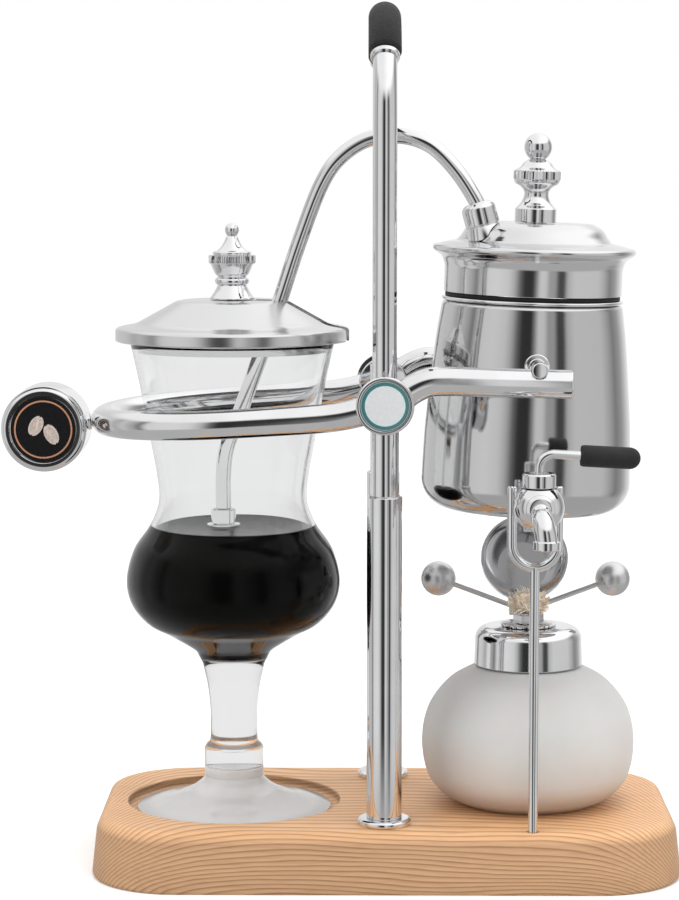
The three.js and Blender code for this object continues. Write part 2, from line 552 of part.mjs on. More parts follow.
// ---------------------------------------------------------------- glass and its lid
function makeGlass() {
  const glass = new THREE.Group();
  glass.position.x = GLASS.x;
  root.add(glass);
  const floor = BASE.height - RECESS.depth;
  const bowl = [[17.1, 93.6], [20.9, 96.3], [30.4, 102], [39.3, 107], [46.1, 115.6], [48.2, 126.6],
    [44.8, 140], [37.5, 151], [33.4, 162], [34.2, 174], [36.4, 186.5], [40.4, 208], [43.1, 221.6],
    [45.8, 233.5]];
  const outside = smooth(bowl, 12);
  const wall = outside.map(([r, z], i) => {
    const [before, after] = [outside[Math.max(i - 1, 0)], outside[Math.min(i + 1, outside.length - 1)]];
    const run = Math.hypot(after[0] - before[0], after[1] - before[1]);
    const [dr, dz] = [(after[0] - before[0]) / run, (after[1] - before[1]) / run];
    return [r - dz * GLASS.wall, z + dr * GLASS.wall];
  }).filter(([r]) => r > 14.6);
  wall[wall.length - 1][1] = 233.5;
  const profile = [[0, 23.4], [30, 21.8], [38, floor], [44, floor], [44, 22.6], [30, 26], [19, 30.5],
    [13.4, 36], [13.4, 49], [10.7, 52], [10.7, 66], [12.3, 80], [14.1, 88], ...outside,
    ...wall.reverse(), [9, 91.6], [0, 90.6]];
  const [foot, bulb, funnel] = sawn(turned(profile, 24), GLASS.splits);
  add(glass, 'glass_foot', foot, CLEAR);
  add(glass, 'brewing_glass', bulb, CLEAR);
  add(glass, 'glass_funnel', funnel, CLEAR);
  return glass;
}

function makeGlassLid(glass) {
  const lid = new THREE.Group();
  glass.add(lid);
  const { z, lip, top } = GLASS_LID;
  // A spun lid: a ring inside the glass's mouth, a turned-down lip, a flat brim, a cone and a flat top.
  const outline = [[41.4, z - 4], [42.6, z - 4], [42.6, z], [45.6, z], [45.6, z + 1.2], [43, z + 1.2],
    [43, z + 6.5], [lip - 1.2, z + 5.1], [lip - 1.2, z + 0.3], [lip, z + 0.3], [lip, z + 5.4],
    [lip - 0.5, z + 6], [lip - 2, z + 6.6], [43.6, z + 7.9], [41.5, z + 8.8], [25.5, top - 1],
    [23.5, top - 0.1], [2.4, top], [2.4, top - 1.2], [23.2, top - 1.3], [24.6, top - 2],
    [40.8, z + 7.5], [41.4, z + 6.9], [41.4, z - 4]];
  const { width, from } = LID_SLOT;
  const slot = box(v3(from, -width / 2, z - 10), v3(70, width / 2, z + 30)).rotate([0, 0, -SIPHON.azimuth]);
  add(lid, 'glass_lid', turned(outline, 24).subtract(slot), STEEL);
  const seat = top + GAP;
  const knob = [[0, seat - 4.9], [2.1, seat - 4.9], [2.1, seat], [9.5, seat], [9.2, seat + 0.9],
    [6.9, seat + 5.6], [7.4, seat + 8.2], [6.1, seat + 10.5], [6.6, seat + 11.6], [10.1, seat + 15.9],
    [10.5, seat + 16.4], [10.5, seat + 19.6], [7.4, seat + 21], [4.2, seat + 24.4], [2.3, seat + 28.6],
    ...arc(0, seat + 31.4, 2.9, -50, 90, 5)];
  add(lid, 'glass_lid_knob', turned(knob, 12), CHROME);
}

// ---------------------------------------------------------------- spirit lamp
function makeLamp() {
  const lamp = new THREE.Group();
  lamp.position.x = LAMP.x;
  root.add(lamp);
  const floor = BASE.height;
  const bulge = smooth([[31, floor], [39, 29.4], [45.6, 38], [48, 53], [45, 68], [36, 80], [24, 87]], 10);
  const hollow = smooth([[28, 28], [36.6, 31.6], [43, 39.6], [45.3, 53], [42.6, 66.6], [34.4, 77.4],
    [22, 84.6]], 8).reverse();
  const { neckRadius, neckBore, neckTop } = LAMP;
  const bowl = [[0, floor], ...bulge, [neckRadius, 87.4], [neckRadius, neckTop], [neckBore, neckTop],
    [neckBore, 85.6], ...hollow, [0, 28]];
  const [base, belly, shoulder] = sawn(turned(bowl, 24), LAMP.splits);
  add(lamp, 'lamp_base', base, FROSTED);
  add(lamp, 'lamp_bowl', belly, FROSTED);
  add(lamp, 'lamp_shoulder', shoulder, FROSTED);

  const { bottom, top, radius, hole, wall } = LAMP_CAP;
  const bore = neckRadius + 0.4;
  const corner = top - 99.6;
  const cap = [[bore, bottom], [radius, bottom], [radius - 0.4, top - corner],
    ...arc(radius - 0.5 - corner, top - corner, corner, 10, 90, 4), [hole, top], [hole, top - wall],
    [bore, top - wall], [bore, bottom]];
  add(lamp, 'lamp_cap', turned(cap, 20), CHROME);

  const tube = [[3.2, 105.1], [3.2, 85], [4.2, 85], [4.2, 107], [5, 111], [3.2, 111], [3.2, 105.1]];
  const holder = turned(tube, 16)
    .add(turned([[4, 106.5], [6.9, 106.5], [6.9, 110.4], [4, 110.4], [4, 106.5]], 6));
  add(lamp, 'wick_holder', holder, CHROME);
  const wick = [[0, 34], [2.6, 34], [2.6, 111.4], [7, 113.2], [9.6, 116.6], [9.6, 119.6], [6.6, WICK_TOP],
    [0, WICK_TOP]];
  add(lamp, 'wick', turned(wick, 16), COTTON);

  const { y, z } = HINGE;
  const { half, ear } = PLATE;
  const plate = rod(PLATE.radius, v3(0, 0, PLATE.bottom), v3(0, 0, PLATE.top), 24)
    .subtract(rod(hole, v3(0, 0, PLATE.bottom - 1), v3(0, 0, PLATE.top + 1), 16));
  let bracket = plate.add(box(v3(-half, 6, PLATE.bottom), v3(half, 22.6, PLATE.top)));
  for (const side of [-half, half - ear]) {
    bracket = bracket.add(box(v3(side, 21, PLATE.bottom), v3(side + ear, y + 2.2, z + 2.2)));
  }
  bracket = bracket.subtract(rod(AXLE.hole, v3(-8, y, z), v3(8, y, z), 12));
  add(lamp, 'hinge_bracket', bracket, CHROME);
  return lamp;
}

// The bell is drawn shut, about the hinge, and then turned open.
function makeSnuffer(lamp) {
  const snuffer = new THREE.Group();
  snuffer.position.set(0, HINGE.y, HINGE.z);
  lamp.add(snuffer);
  const { radius: r, depth, open } = SNUFFER;
  const rim = -1.2;
  const outline = [[r - 1.1, rim], [r, rim], [r, rim + 4], [r - 1.6, rim + 9], [r - 5, rim + 15.6],
    [12.4, rim + depth + 1], [0, rim + depth + 1], [0, rim + depth], [11.6, rim + depth],
    [r - 6, rim + 14.8], [r - 2.7, rim + 8.6], [r - 1.1, rim + 4], [r - 1.1, rim]];
  const bell = turned(outline, 20).translate([0, -HINGE.y, 0]);
  const leaf = box(v3(-2.7, r - HINGE.y - 0.6, -1.1), v3(2.7, 0, 0.5));
  const knuckle = rod(1.9, v3(-2.7, 0, 0), v3(2.7, 0, 0), 12);
  const bore = rod(AXLE.hole, v3(-9, 0, 0), v3(9, 0, 0), 12);
  const lid = add(snuffer, 'snuffer_bell', bell.add(leaf).add(knuckle).subtract(bore), CHROME);
  lid.rotation.x = -rad(open);
  add(snuffer, 'snuffer_axle', rod(AXLE.radius, v3(-AXLE.half, 0, 0), v3(AXLE.half, 0, 0), 12), STEEL);
  for (const [side, sign] of [['left', -1], ['right', 1]]) {
    const end = v3(sign * HANDLE.reach, 0, HANDLE.rise);
    const ball = solid(new THREE.SphereGeometry(HANDLE.ball, 12, 8).translate(end.x, 0, end.z));
    const collar = rod(2.1, v3(sign * 5.2, 0, 0), v3(sign * AXLE.half, 0, 0), 16);
    const arm = rod(HANDLE.arm, v3(sign * 6.3, 0, 2.3), end, 10);
    const made = collar.add(arm).add(ball).subtract(bore);
    add(snuffer, `snuffer_handle_${side}`, made, CHROME);
  }
}

makeStand();
makePivots();
makeBeam();
makeKettle();
makeStopper();
makeGlassLid(makeGlass());
makeSnuffer(makeLamp());

export default root;
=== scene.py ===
import json
import math
import random
from math import cos, pi, radians, sin

import bmesh
import bpy
from mathutils import Matrix, Vector
from mathutils import noise as field


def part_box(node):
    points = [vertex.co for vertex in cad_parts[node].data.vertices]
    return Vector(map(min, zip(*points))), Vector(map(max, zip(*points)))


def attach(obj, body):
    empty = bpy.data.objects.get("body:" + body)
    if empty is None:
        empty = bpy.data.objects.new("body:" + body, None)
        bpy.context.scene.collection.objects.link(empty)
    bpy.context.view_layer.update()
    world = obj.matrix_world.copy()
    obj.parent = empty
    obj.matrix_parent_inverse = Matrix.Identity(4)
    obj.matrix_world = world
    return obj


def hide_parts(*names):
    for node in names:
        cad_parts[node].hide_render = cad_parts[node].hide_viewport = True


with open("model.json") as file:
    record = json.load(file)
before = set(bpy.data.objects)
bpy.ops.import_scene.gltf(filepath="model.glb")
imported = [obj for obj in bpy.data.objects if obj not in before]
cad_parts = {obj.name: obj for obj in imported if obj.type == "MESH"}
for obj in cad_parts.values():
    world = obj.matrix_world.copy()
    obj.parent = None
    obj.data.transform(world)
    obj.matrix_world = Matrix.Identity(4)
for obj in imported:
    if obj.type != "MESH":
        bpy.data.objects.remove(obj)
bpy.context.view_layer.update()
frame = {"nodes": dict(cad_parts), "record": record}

MM = 0.001
SEGMENTS = 96
SHARP = 35
random.seed(7)


# ------------------------------------------------------------------ places, all taken from the frame
def low_of(node):
    return Vector(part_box(node)[0])


def high_of(node):
    return Vector(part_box(node)[1])


def centre_of(node):
    return (low_of(node) + high_of(node)) / 2


def joint(name):
    return next(j for j in frame["record"]["behaviour"]["joints"] if j["name"] == name)


PIVOT_Z = joint("beam_tilt")["pos_m"][2]
TRUNNION = Vector(joint("kettle_level")["pos_m"])
HINGE = Vector(joint("snuffer_turn")["pos_m"])
OPEN = radians(joint("snuffer_turn")["range_deg"][1])
KETTLE_AXIS = Vector(joint("stopper_lift")["axis"]).normalized()
COLUMN_Y = centre_of("column_tube_rear").y
GLASS_AXIS = centre_of("brewing_glass").to_2d()
LAMP_AXIS = centre_of("lamp_bowl").to_2d()
SIDES = (("front", -1), ("rear", 1))


def mm(x, y, z):
    """A place given in millimetres."""
    return Vector((x, y, z)) * MM


def shift(x, y, z):
    return Matrix.Translation((x, y, z))


def pointing(start, direction):
    """A frame with its origin at the start and +Z along the direction."""
    turn = Vector((0, 0, 1)).rotation_difference(Vector(direction))
    return Matrix.Translation(start) @ turn.to_matrix().to_4x4()


def kettle_matrix():
    """The kettle's own frame: its origin at the middle of the bottom, +Z up its leaning axis."""
    points = [v.co for v in frame["nodes"]["kettle_bottom"].data.vertices]
    lowest = min(p.dot(KETTLE_AXIS) for p in points)
    bottom = [p for p in points if p.dot(KETTLE_AXIS) < lowest + 0.1 * MM]
    middle = [(min(p[i] for p in bottom) + max(p[i] for p in bottom)) / 2 for i in range(3)]
    return pointing(middle, KETTLE_AXIS)


def facing(sign, x, y, z):
    """A frame whose +Z points along -Y (sign -1) or +Y (sign 1)."""
    return shift(x, y, z) @ Matrix.Rotation(-sign * pi / 2, 4, "X")


KETTLE = kettle_matrix()


# ------------------------------------------------------------------ outlines, in millimetres
def plain(radius, start, end):
    """The outline of a plain round rod between two heights."""
    return [(0, start), (radius, start), (radius, end), (0, end)]


def raised(points, by):
    """The outline moved up."""
    return [(r, z + by) for r, z in points]


def arc(cx, cy, radius, start, end, steps=12):
    """Points of an arc between two angles in degrees."""
    angles = [radians(start + (end - start) * i / steps) for i in range(steps + 1)]
    return [(cx + radius * cos(a), cy + radius * sin(a)) for a in angles]


def smooth(points, steps=8):
    """A Catmull-Rom curve through the points, with that many steps between each two."""
    points = [Vector(p) for p in points]
    ends = [2 * points[0] - points[1], *points, 2 * points[-1] - points[-2]]
    curve = []
    for a, b, c, d in zip(ends, ends[1:], ends[2:], ends[3:]):
        for t in (i / steps for i in range(steps)):
            curve.append(0.5 * (2 * b + (c - a) * t + (2 * a - 5 * b + 4 * c - d) * t ** 2
                                + (3 * b - a - 3 * c + d) * t ** 3))
    return [tuple(p) for p in [*curve, points[-1]]]


def eased(points, radius=0.35, steps=3):
    """The outline with every corner rounded over by up to that radius."""
    points = [Vector(p) for p in points]
    outline = [points[0]]
    for before, corner, after in zip(points, points[1:], points[2:]):
        back, on = before - corner, after - corner
        if back.length < 1e-6 or on.length < 1e-6 or back.angle(on) > radians(165):
            outline.append(corner)
            continue
        cut = min(radius, 0.45 * back.length, 0.45 * on.length)
        start, end = corner + back.normalized() * cut, corner + on.normalized() * cut
        for t in (i / steps for i in range(steps + 1)):
            outline.append(start * (1 - t) ** 2 + corner * 2 * t * (1 - t) + end * t ** 2)
    return [tuple(p) for p in [*outline, points[-1]]]


# ------------------------------------------------------------------ mesh work
def add_object(name, mesh):
    piece = bpy.data.objects.new(name, mesh)
    bpy.context.scene.collection.objects.link(piece)
    return piece


def shade(mesh, sharp=SHARP):
    for polygon in mesh.polygons:
        polygon.use_smooth = True
    mesh.set_sharp_from_angle(angle=radians(sharp))


def solid(name, vertices, faces, sharp=SHARP):
    """A closed piece, cleaned, with its faces turned outwards and smooth up to the sharp angle."""
    mesh = bpy.data.meshes.new(name)
    mesh.from_pydata(vertices, [], faces)
    mesh.validate()
    work = bmesh.new()
    work.from_mesh(mesh)
    bmesh.ops.remove_doubles(work, verts=work.verts, dist=1e-7)
    bmesh.ops.dissolve_degenerate(work, edges=work.edges, dist=1e-7)
    bmesh.ops.recalc_face_normals(work, faces=work.faces)
    if work.calc_volume(signed=True) < 0:
        bmesh.ops.reverse_faces(work, faces=work.faces)
    work.to_mesh(mesh)
    work.free()
    shade(mesh, sharp)
    return add_object(name, mesh)


def between(rows, count):
    """The faces between that many closed rings of points, each with the same count."""
    return [(i * count + k, i * count + (k + 1) % count, (i + 1) * count + (k + 1) % count,
             (i + 1) * count + k) for i in range(rows - 1) for k in range(count)]


def turned(name, outline, place, segments=SEGMENTS, ripple=None, sharp=SHARP):
    """A closed solid: the outline of (radius, height) turned about the Z axis of place.
    ripple(angle, height) gives a share that is taken off the radius there."""
    vertices = []
    count = len(outline)
    for a in (2 * pi * i / segments for i in range(segments)):
        for r, z in outline:
            if ripple:
                r = r * (1 - ripple(a, z))
            vertices.append(place @ Vector((r * cos(a) * MM, r * sin(a) * MM, z * MM)))
    faces = []
    for i in range(segments):
        here, there = i * count, (i + 1) % segments * count
        faces += [(here + k, there + k, there + k + 1, here + k + 1) for k in range(count - 1)]
    return solid(name, vertices, faces, sharp)


def bar(name, points, radius, sides=40, bore=0):
    """A round bar along points in metres, or a tube where it has a bore. radius is a number, or one each."""
    points = [Vector(p) for p in points]
    radii = radius if isinstance(radius, list) else [radius] * len(points)
    tangents = [(after - before).normalized() for before, after in
                zip([points[0], *points], [*points[1:], points[-1]])]
    normal = tangents[0].orthogonal().normalized()
    walls = [[], []]
    for i, (point, tangent) in enumerate(zip(points, tangents)):
        if i:
            normal = tangents[i - 1].rotation_difference(tangent) @ normal
            normal = (normal - tangent * normal.dot(tangent)).normalized()
        side = tangent.cross(normal)
        around = [normal * cos(a) + side * sin(a) for a in (2 * pi * k / sides for k in range(sides))]
        for wall, r in zip(walls, (radii[i], bore)):
            wall += [point + way * r * MM for way in around]
    faces = between(len(points), sides)
    last = len(points) * sides - sides
    if not bore:
        return solid(name, walls[0], [*faces, tuple(range(sides)), tuple(range(last, last + sides))])
    inner = len(points) * sides
    faces += [tuple(inner + k for k in face) for face in faces]
    for start in (0, last):
        faces += [(start + k, start + (k + 1) % sides, start + (k + 1) % sides + inner, start + k + inner)
                  for k in range(sides)]
    return solid(name, [*walls[0], *walls[1]], faces)


def block(name, low, high):
    corners = [(x, y, z) for x in (low[0], high[0]) for y in (low[1], high[1]) for z in (low[2], high[2])]
    return solid(name, corners, [(0, 1, 3, 2), (4, 6, 7, 5), (0, 4, 5, 1), (2, 3, 7, 6), (0, 2, 6, 4),
                                 (1, 5, 7, 3)])


def combine(piece, other, operation):
    """Cuts the other piece from this one (DIFFERENCE) or joins it on (UNION), and drops the other."""
    change = piece.modifiers.new("combine", "BOOLEAN")
    change.operation = operation
    change.object = other
    change.solver = "EXACT"
    bpy.context.view_layer.update()
    result = bpy.data.meshes.new_from_object(piece.evaluated_get(bpy.context.evaluated_depsgraph_get()))
    piece.modifiers.clear()
    result.name = piece.name
    piece.data = result
    bpy.data.objects.remove(other)
    shade(result)
    return piece


def cut(piece, other):
    return combine(piece, other, "DIFFERENCE")


def join(piece, other):
    return combine(piece, other, "UNION")


def place(piece, body, look, *nodes):
    """Finishes a piece: its material, its body and the CAD nodes that it stands for. The slot named in the
    look is not used.
    """
    material, slot = look
    piece.data.materials.clear()
    piece.data.materials.append(material)
    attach(piece, body)
    if nodes:
        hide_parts(*nodes)
    return piece


# ------------------------------------------------------------------ materials
class Nodes:
    """A node tree, with short names for the nodes that repeat."""
    def __init__(self, tree):
        self.tree = tree

    def node(self, kind, inputs, **settings):
        made = self.tree.nodes.new("ShaderNode" + kind)
        for key, value in settings.items():
            setattr(made, key, value)
        for key, value in inputs.items():
            if hasattr(value, "is_output"):
                self.tree.links.new(value, made.inputs[key])
            else:
                made.inputs[key].default_value = value
        return made

    def maths(self, operation, first, second=0.0):
        return self.node("Math", {0: first, 1: second}, operation=operation).outputs[0]

    def spread(self, value, low, high, start=0.0, end=1.0, kind="LINEAR"):
        """The value's range from start to end, spread from low to high."""
        return self.node("MapRange", {"Value": value, "From Min": start, "From Max": end, "To Min": low,
                                      "To Max": high}, interpolation_type=kind).outputs[0]

    def mix(self, share, first, second, blend="MIX"):
        return self.node("Mix", {0: share, 6: first, 7: second}, data_type="RGBA",
                         blend_type=blend).outputs[2]

    def ramp(self, value, *stops):
        made = self.node("ValToRGB", {"Fac": value})
        elements = made.color_ramp.elements
        elements.remove(elements[1])
        elements[0].position = stops[0][0]
        for number, (position, colour) in enumerate(stops):
            element = elements.new(position) if number else elements[0]
            element.color = (*colour, 1) if isinstance(colour, tuple) else (colour, colour, colour, 1)
        return made.outputs["Color"]


class Surface(Nodes):
    """A procedural material, worked out from the piece's own coordinates in metres round a centre."""
    def __init__(self, name, centre=(0, 0, 0), **values):
        self.material = bpy.data.materials.new(name)
        self.material.use_nodes = True
        super().__init__(self.material.node_tree)
        self.shader = self.tree.nodes["Principled BSDF"]
        for key, value in values.items():
            self.shader.inputs[key.replace("_", " ")].default_value = value
        own = self.node("TexCoord", {}).outputs["Object"]
        self.spot = self.node("VectorMath", {0: own, 1: tuple(centre)}, operation="SUBTRACT").outputs[0]

    def scaled(self, *factors):
        return self.node("VectorMath", {0: self.spot, 1: factors}, operation="MULTIPLY").outputs[0]

    def distance(self, *factors):
        return self.node("VectorMath", {0: self.scaled(*factors)}, operation="LENGTH").outputs["Value"]

    def noise(self, scale, detail, roughness=0.55, vector=None):
        return self.node("TexNoise", {"Vector": vector or self.spot, "Scale": scale, "Detail": detail,
                                      "Roughness": roughness}).outputs["Fac"]

    def finish(self, colour, roughness=None, height=None, strength=0.0, distance=0.0):
        """Links what the shader shows and returns the material."""
        self.tree.links.new(colour, self.shader.inputs["Base Color"])
        if roughness:
            self.tree.links.new(roughness, self.shader.inputs["Roughness"])
        if height:
            bump = self.node("Bump", {"Height": height, "Strength": strength, "Distance": distance})
            self.tree.links.new(bump.outputs["Normal"], self.shader.inputs["Normal"])
        return self.material


def grey(level, blue=0.0):
    return (level, level, level + blue)


def chrome(name, tint=grey(0.82, 0.01), low=0.035, high=0.10):
    """Polished plate: nearly a mirror, with faint handling smears and a hint of orange peel."""
    m = Surface(name, Metallic=1.0)
    smear = m.noise(55, 3, 0.6)
    colour = m.ramp(smear, (0.3, tuple(0.93 * c for c in tint)), (0.7, tint))
    return m.finish(colour, m.spread(smear, low, high), m.noise(420, 2), 0.05, 0.00005)


def brushed(name, centre, tint=grey(0.66, 0.005), rings=False, low=0.16, high=0.30):
    """Satin steel: fine lines run round the axis, along the height of a wall or across a lid's rings."""
    m = Surface(name, centre, Metallic=1.0, Anisotropic=0.35)
    if rings:
        lines = m.node("CombineXYZ", {"X": m.distance(1, 1, 0)}).outputs[0]
    else:
        lines = m.scaled(0.012, 0.012, 1)
    scratch = m.noise(2600, 5, 0.7, lines)
    both = m.maths("MULTIPLY", scratch, m.noise(30, 3))
    colour = m.ramp(scratch, (0.25, tuple(0.965 * c for c in tint)), (0.75, tint))
    return m.finish(colour, m.spread(both, low, high), scratch, 0.03, 0.00002)


def wood():
    """Pale oiled wood. The growth lines run along X, turn down at the slab's ends and wander a little."""
    middle = centre_of("wood_base")
    m = Surface("pale_wood", (middle.x, 0, 0))
    x, y, depth = m.node("SeparateXYZ", {"Vector": m.spot}).outputs
    out = m.maths("DIVIDE", m.maths("ABSOLUTE", x), high_of("wood_base").x - middle.x)
    ends = m.maths("MULTIPLY", m.maths("POWER", out, 7.0), 0.030)
    slope = m.maths("MULTIPLY", y, 0.34)
    long = m.scaled(6.5, 12, 34)
    wander = m.spread(m.noise(1.0, 1, 0.4, long), -0.009, 0.009)
    tremble = m.spread(m.noise(1.0, 2, 0.5, m.scaled(20, 60, 120)), -0.0012, 0.0012)
    for part in (ends, slope, wander, tremble):
        depth = m.maths("ADD", depth, part)
    rings = m.maths("FRACT", m.maths("ADD", m.maths("DIVIDE", depth, 0.00215), 100.0))
    pores = m.noise(2.2, 5, 0.7, m.scaled(26, 420, 520))
    early = (0.39, 0.215, 0.106)
    grain = m.ramp(rings, (0.0, early), (0.10, (0.495, 0.300, 0.163)), (0.45, (0.480, 0.286, 0.153)),
                   (0.70, (0.43, 0.245, 0.125)), (0.88, (0.315, 0.165, 0.076)),
                   (0.95, (0.29, 0.150, 0.068)), (1.0, early))
    fibre = m.ramp(pores, (0.28, (0.84, 0.81, 0.78)), (0.55, 1.0))
    tone = m.ramp(m.noise(0.8, 3, vector=long), (0.3, (0.90, 0.89, 0.88)), (0.7, (1.04, 1.04, 1.03)))
    mixed = m.mix(1.0, m.mix(1.0, grain, fibre, "MULTIPLY"), tone, "MULTIPLY")
    # Painted light: faces that look upward are made up to 1.75 times paler, standing in for the light that
    # falls on the slab's top.
    normal = m.node("NewGeometry", {}).outputs["Normal"]
    upward = m.node("SeparateXYZ", {"Vector": normal}).outputs["Z"]
    painted_top_light = m.spread(upward, 1.0, 1.75, 0.4, 0.98)
    colour = m.node("VectorMath", {0: mixed, "Scale": painted_top_light}, operation="SCALE").outputs[0]
    return m.finish(colour, m.spread(pores, 0.62, 0.42), pores, 0.2, 0.0002)


def clear_glass():
    m = Surface("clear_glass", Roughness=0.0, IOR=1.47, Transmission_Weight=1.0,
                Specular_Tint=(0.18, 0.18, 0.18, 1))
    tint = m.ramp(m.noise(14, 2), (0.3, (0.985, 0.992, 0.99)), (0.7, 1.0))
    return m.finish(tint, None, m.noise(28, 1, vector=m.scaled(1, 1, 0.4)), 0.06, 0.0006)


def painted_reflection_foot_glass():
    """The foot's glass: slightly rough, and half white diffuse colour, a painted reflection of the bright
    room that makes it look whitish on the wood.
    """
    m = Surface("foot_glass_painted_reflection", IOR=1.47, Transmission_Weight=0.5)
    cloud = m.noise(60, 3)
    colour = m.ramp(cloud, (0.3, (0.97, 0.95, 0.94)), (0.7, (1.0, 0.985, 0.975)))
    return m.finish(colour, m.spread(cloud, 0.08, 0.2), m.noise(500, 2), 0.04, 0.0001)


def frosted_glass():
    """Acid-etched white glass: milky and finely grained, with a warmer tone towards its underside."""
    m = Surface("frosted_glass", IOR=1.47, Transmission_Weight=0.22, Subsurface_Weight=0.25,
                Subsurface_Scale=0.01)
    grain = m.noise(1500, 3, 0.7)
    height = m.node("SeparateXYZ", {"Vector": m.spot}).outputs["Z"]
    warmth = m.ramp(m.spread(height, 0.0, 1.0, 0.024, 0.066), (0.0, (0.60, 0.50, 0.43)),
                    (0.4, (0.70, 0.64, 0.60)), (1.0, (0.70, 0.68, 0.665)))
    colour = m.mix(1.0, warmth, m.ramp(m.noise(35, 4), (0.3, 0.95), (0.7, 1.0)), "MULTIPLY")
    return m.finish(colour, m.spread(grain, 0.38, 0.56), grain, 0.12, 0.0001)


def coffee():
    m = Surface("black_coffee", Roughness=0.04, IOR=1.34, Specular_IOR_Level=0.035)
    return m.finish(m.ramp(m.noise(22, 3), (0.3, (0.0016, 0.0014, 0.0013)), (0.7, (0.0032, 0.0026, 0.0023))))


def rubber(name, grain_scale, strength, shade_of=1.0):
    """Black rubber with a pebbled grain, smoother on top of each pebble."""
    m = Surface(name)
    cells = m.node("TexVoronoi", {"Vector": m.spot, "Scale": grain_scale},
                   feature="DISTANCE_TO_EDGE").outputs["Distance"]
    pebbles = m.ramp(cells, (0.0, 0.0), (0.28, 1.0))
    dark, pale = (tuple(c * shade_of for c in tone) for tone in (grey(0.006, 0.0005), grey(0.016, 0.001)))
    colour = m.ramp(m.noise(90, 4), (0.3, dark), (0.8, pale))
    return m.finish(colour, m.spread(pebbles, 0.75, 0.48), pebbles, strength, 0.0004)


def ringed(name, centre, roughness, coat, *stops):
    """A round face coloured by the distance from its middle; stops are (millimetres, colour)."""
    m = Surface(name, centre, Coat_Weight=coat, Coat_Roughness=0.05)
    widest = 20
    share = m.maths("MULTIPLY", m.distance(1, 0, 1), 1 / (widest * MM))
    colour = m.ramp(share, *[(mm / widest, colour) for mm, colour in stops])
    speck = m.noise(700, 3)
    colour = m.mix(1.0, colour, m.ramp(speck, (0.3, 0.93), (0.7, 1.0)), "MULTIPLY")
    return m.finish(colour, m.spread(speck, roughness, roughness + 0.08), speck, 0.05, 0.00005)


def cotton():
    m = Surface("raw_cotton", Roughness=0.95, Sheen_Weight=0.4, Sheen_Roughness=0.5)
    colour = m.ramp(m.noise(160, 4, 0.6), (0.30, (0.46, 0.31, 0.21)), (0.44, (0.68, 0.55, 0.42)),
                    (0.60, (0.84, 0.77, 0.64)))
    return m.finish(colour, None, m.noise(1400, 3, vector=m.scaled(1, 1, 0.2)), 0.5, 0.0002)


def copper():
    m = Surface("satin_copper", Metallic=0.6)
    patina = m.noise(900, 3)
    colour = m.ramp(patina, (0.3, (0.62, 0.50, 0.44)), (0.7, (0.80, 0.70, 0.63)))
    return m.finish(colour, m.spread(patina, 0.25, 0.4))


# Each look is a material and the slot that it fills.
CHROME = chrome("polished_chrome"), "chrome"
RIM = CHROME[0], "steel"
CHROME_SOFT = chrome("satin_chrome", grey(0.74, 0.01), 0.30, 0.40), "chrome"
STEEL_PART = chrome("turned_steel", grey(0.60, 0.01), 0.22, 0.36), "steel"
KETTLE_STEEL = brushed("kettle_steel", KETTLE.translation, low=0.07, high=0.14), "steel"
LID_STEEL = brushed("kettle_lid_steel", centre_of("kettle_lid"), grey(0.74, 0.005), True, 0.08, 0.20), "steel"
GLASS_LID_STEEL = brushed("glass_lid_steel", centre_of("glass_lid"), grey(0.72, 0.005), True, 0.16,
                          0.32), "steel"
WOOD = wood(), "wood"
GLASS = clear_glass(), "clear_glass"
# The glass foot's whitish look is a painted reflection.
FOOT_GLASS_PAINTED_REFLECTION = painted_reflection_foot_glass(), "clear_glass"
FROST = frosted_glass(), "frosted_glass"
COFFEE = coffee(), "coffee"
GRIP_RUBBER = rubber("pebbled_rubber", 1150, 0.9), "rubber"
LEVER_RUBBER = rubber("moulded_rubber", 2300, 0.35), "rubber"
SEAL_RUBBER = rubber("black_silicone", 3000, 0.1, 0.3), "seal"
COTTON = cotton(), "cotton"
COPPER_METAL = copper(), "badge"
TEAL = (0.045, 0.125, 0.130)
PALE = (0.52, 0.53, 0.54)
ENAMEL = ringed("enamel_and_teal", centre_of("pivot_inlay_front"), 0.22, 0.4, (0, PALE), (8.15, PALE),
                (8.25, (0.42, 0.60, 0.60)), (8.55, (0.36, 0.55, 0.56)), (8.7, TEAL), (10.1, TEAL),
                (10.3, (0.30, 0.42, 0.42))), "enamel"
COPPER = (0.42, 0.20, 0.11)
BLACK = grey(0.006, 0.001)
BADGE = ringed("badge_black_and_copper", centre_of("weight_badge"), 0.18, 0.6, (0, BLACK), (12.2, BLACK),
               (12.35, COPPER), (12.9, COPPER), (13.05, BLACK), (14.6, BLACK)), "badge"


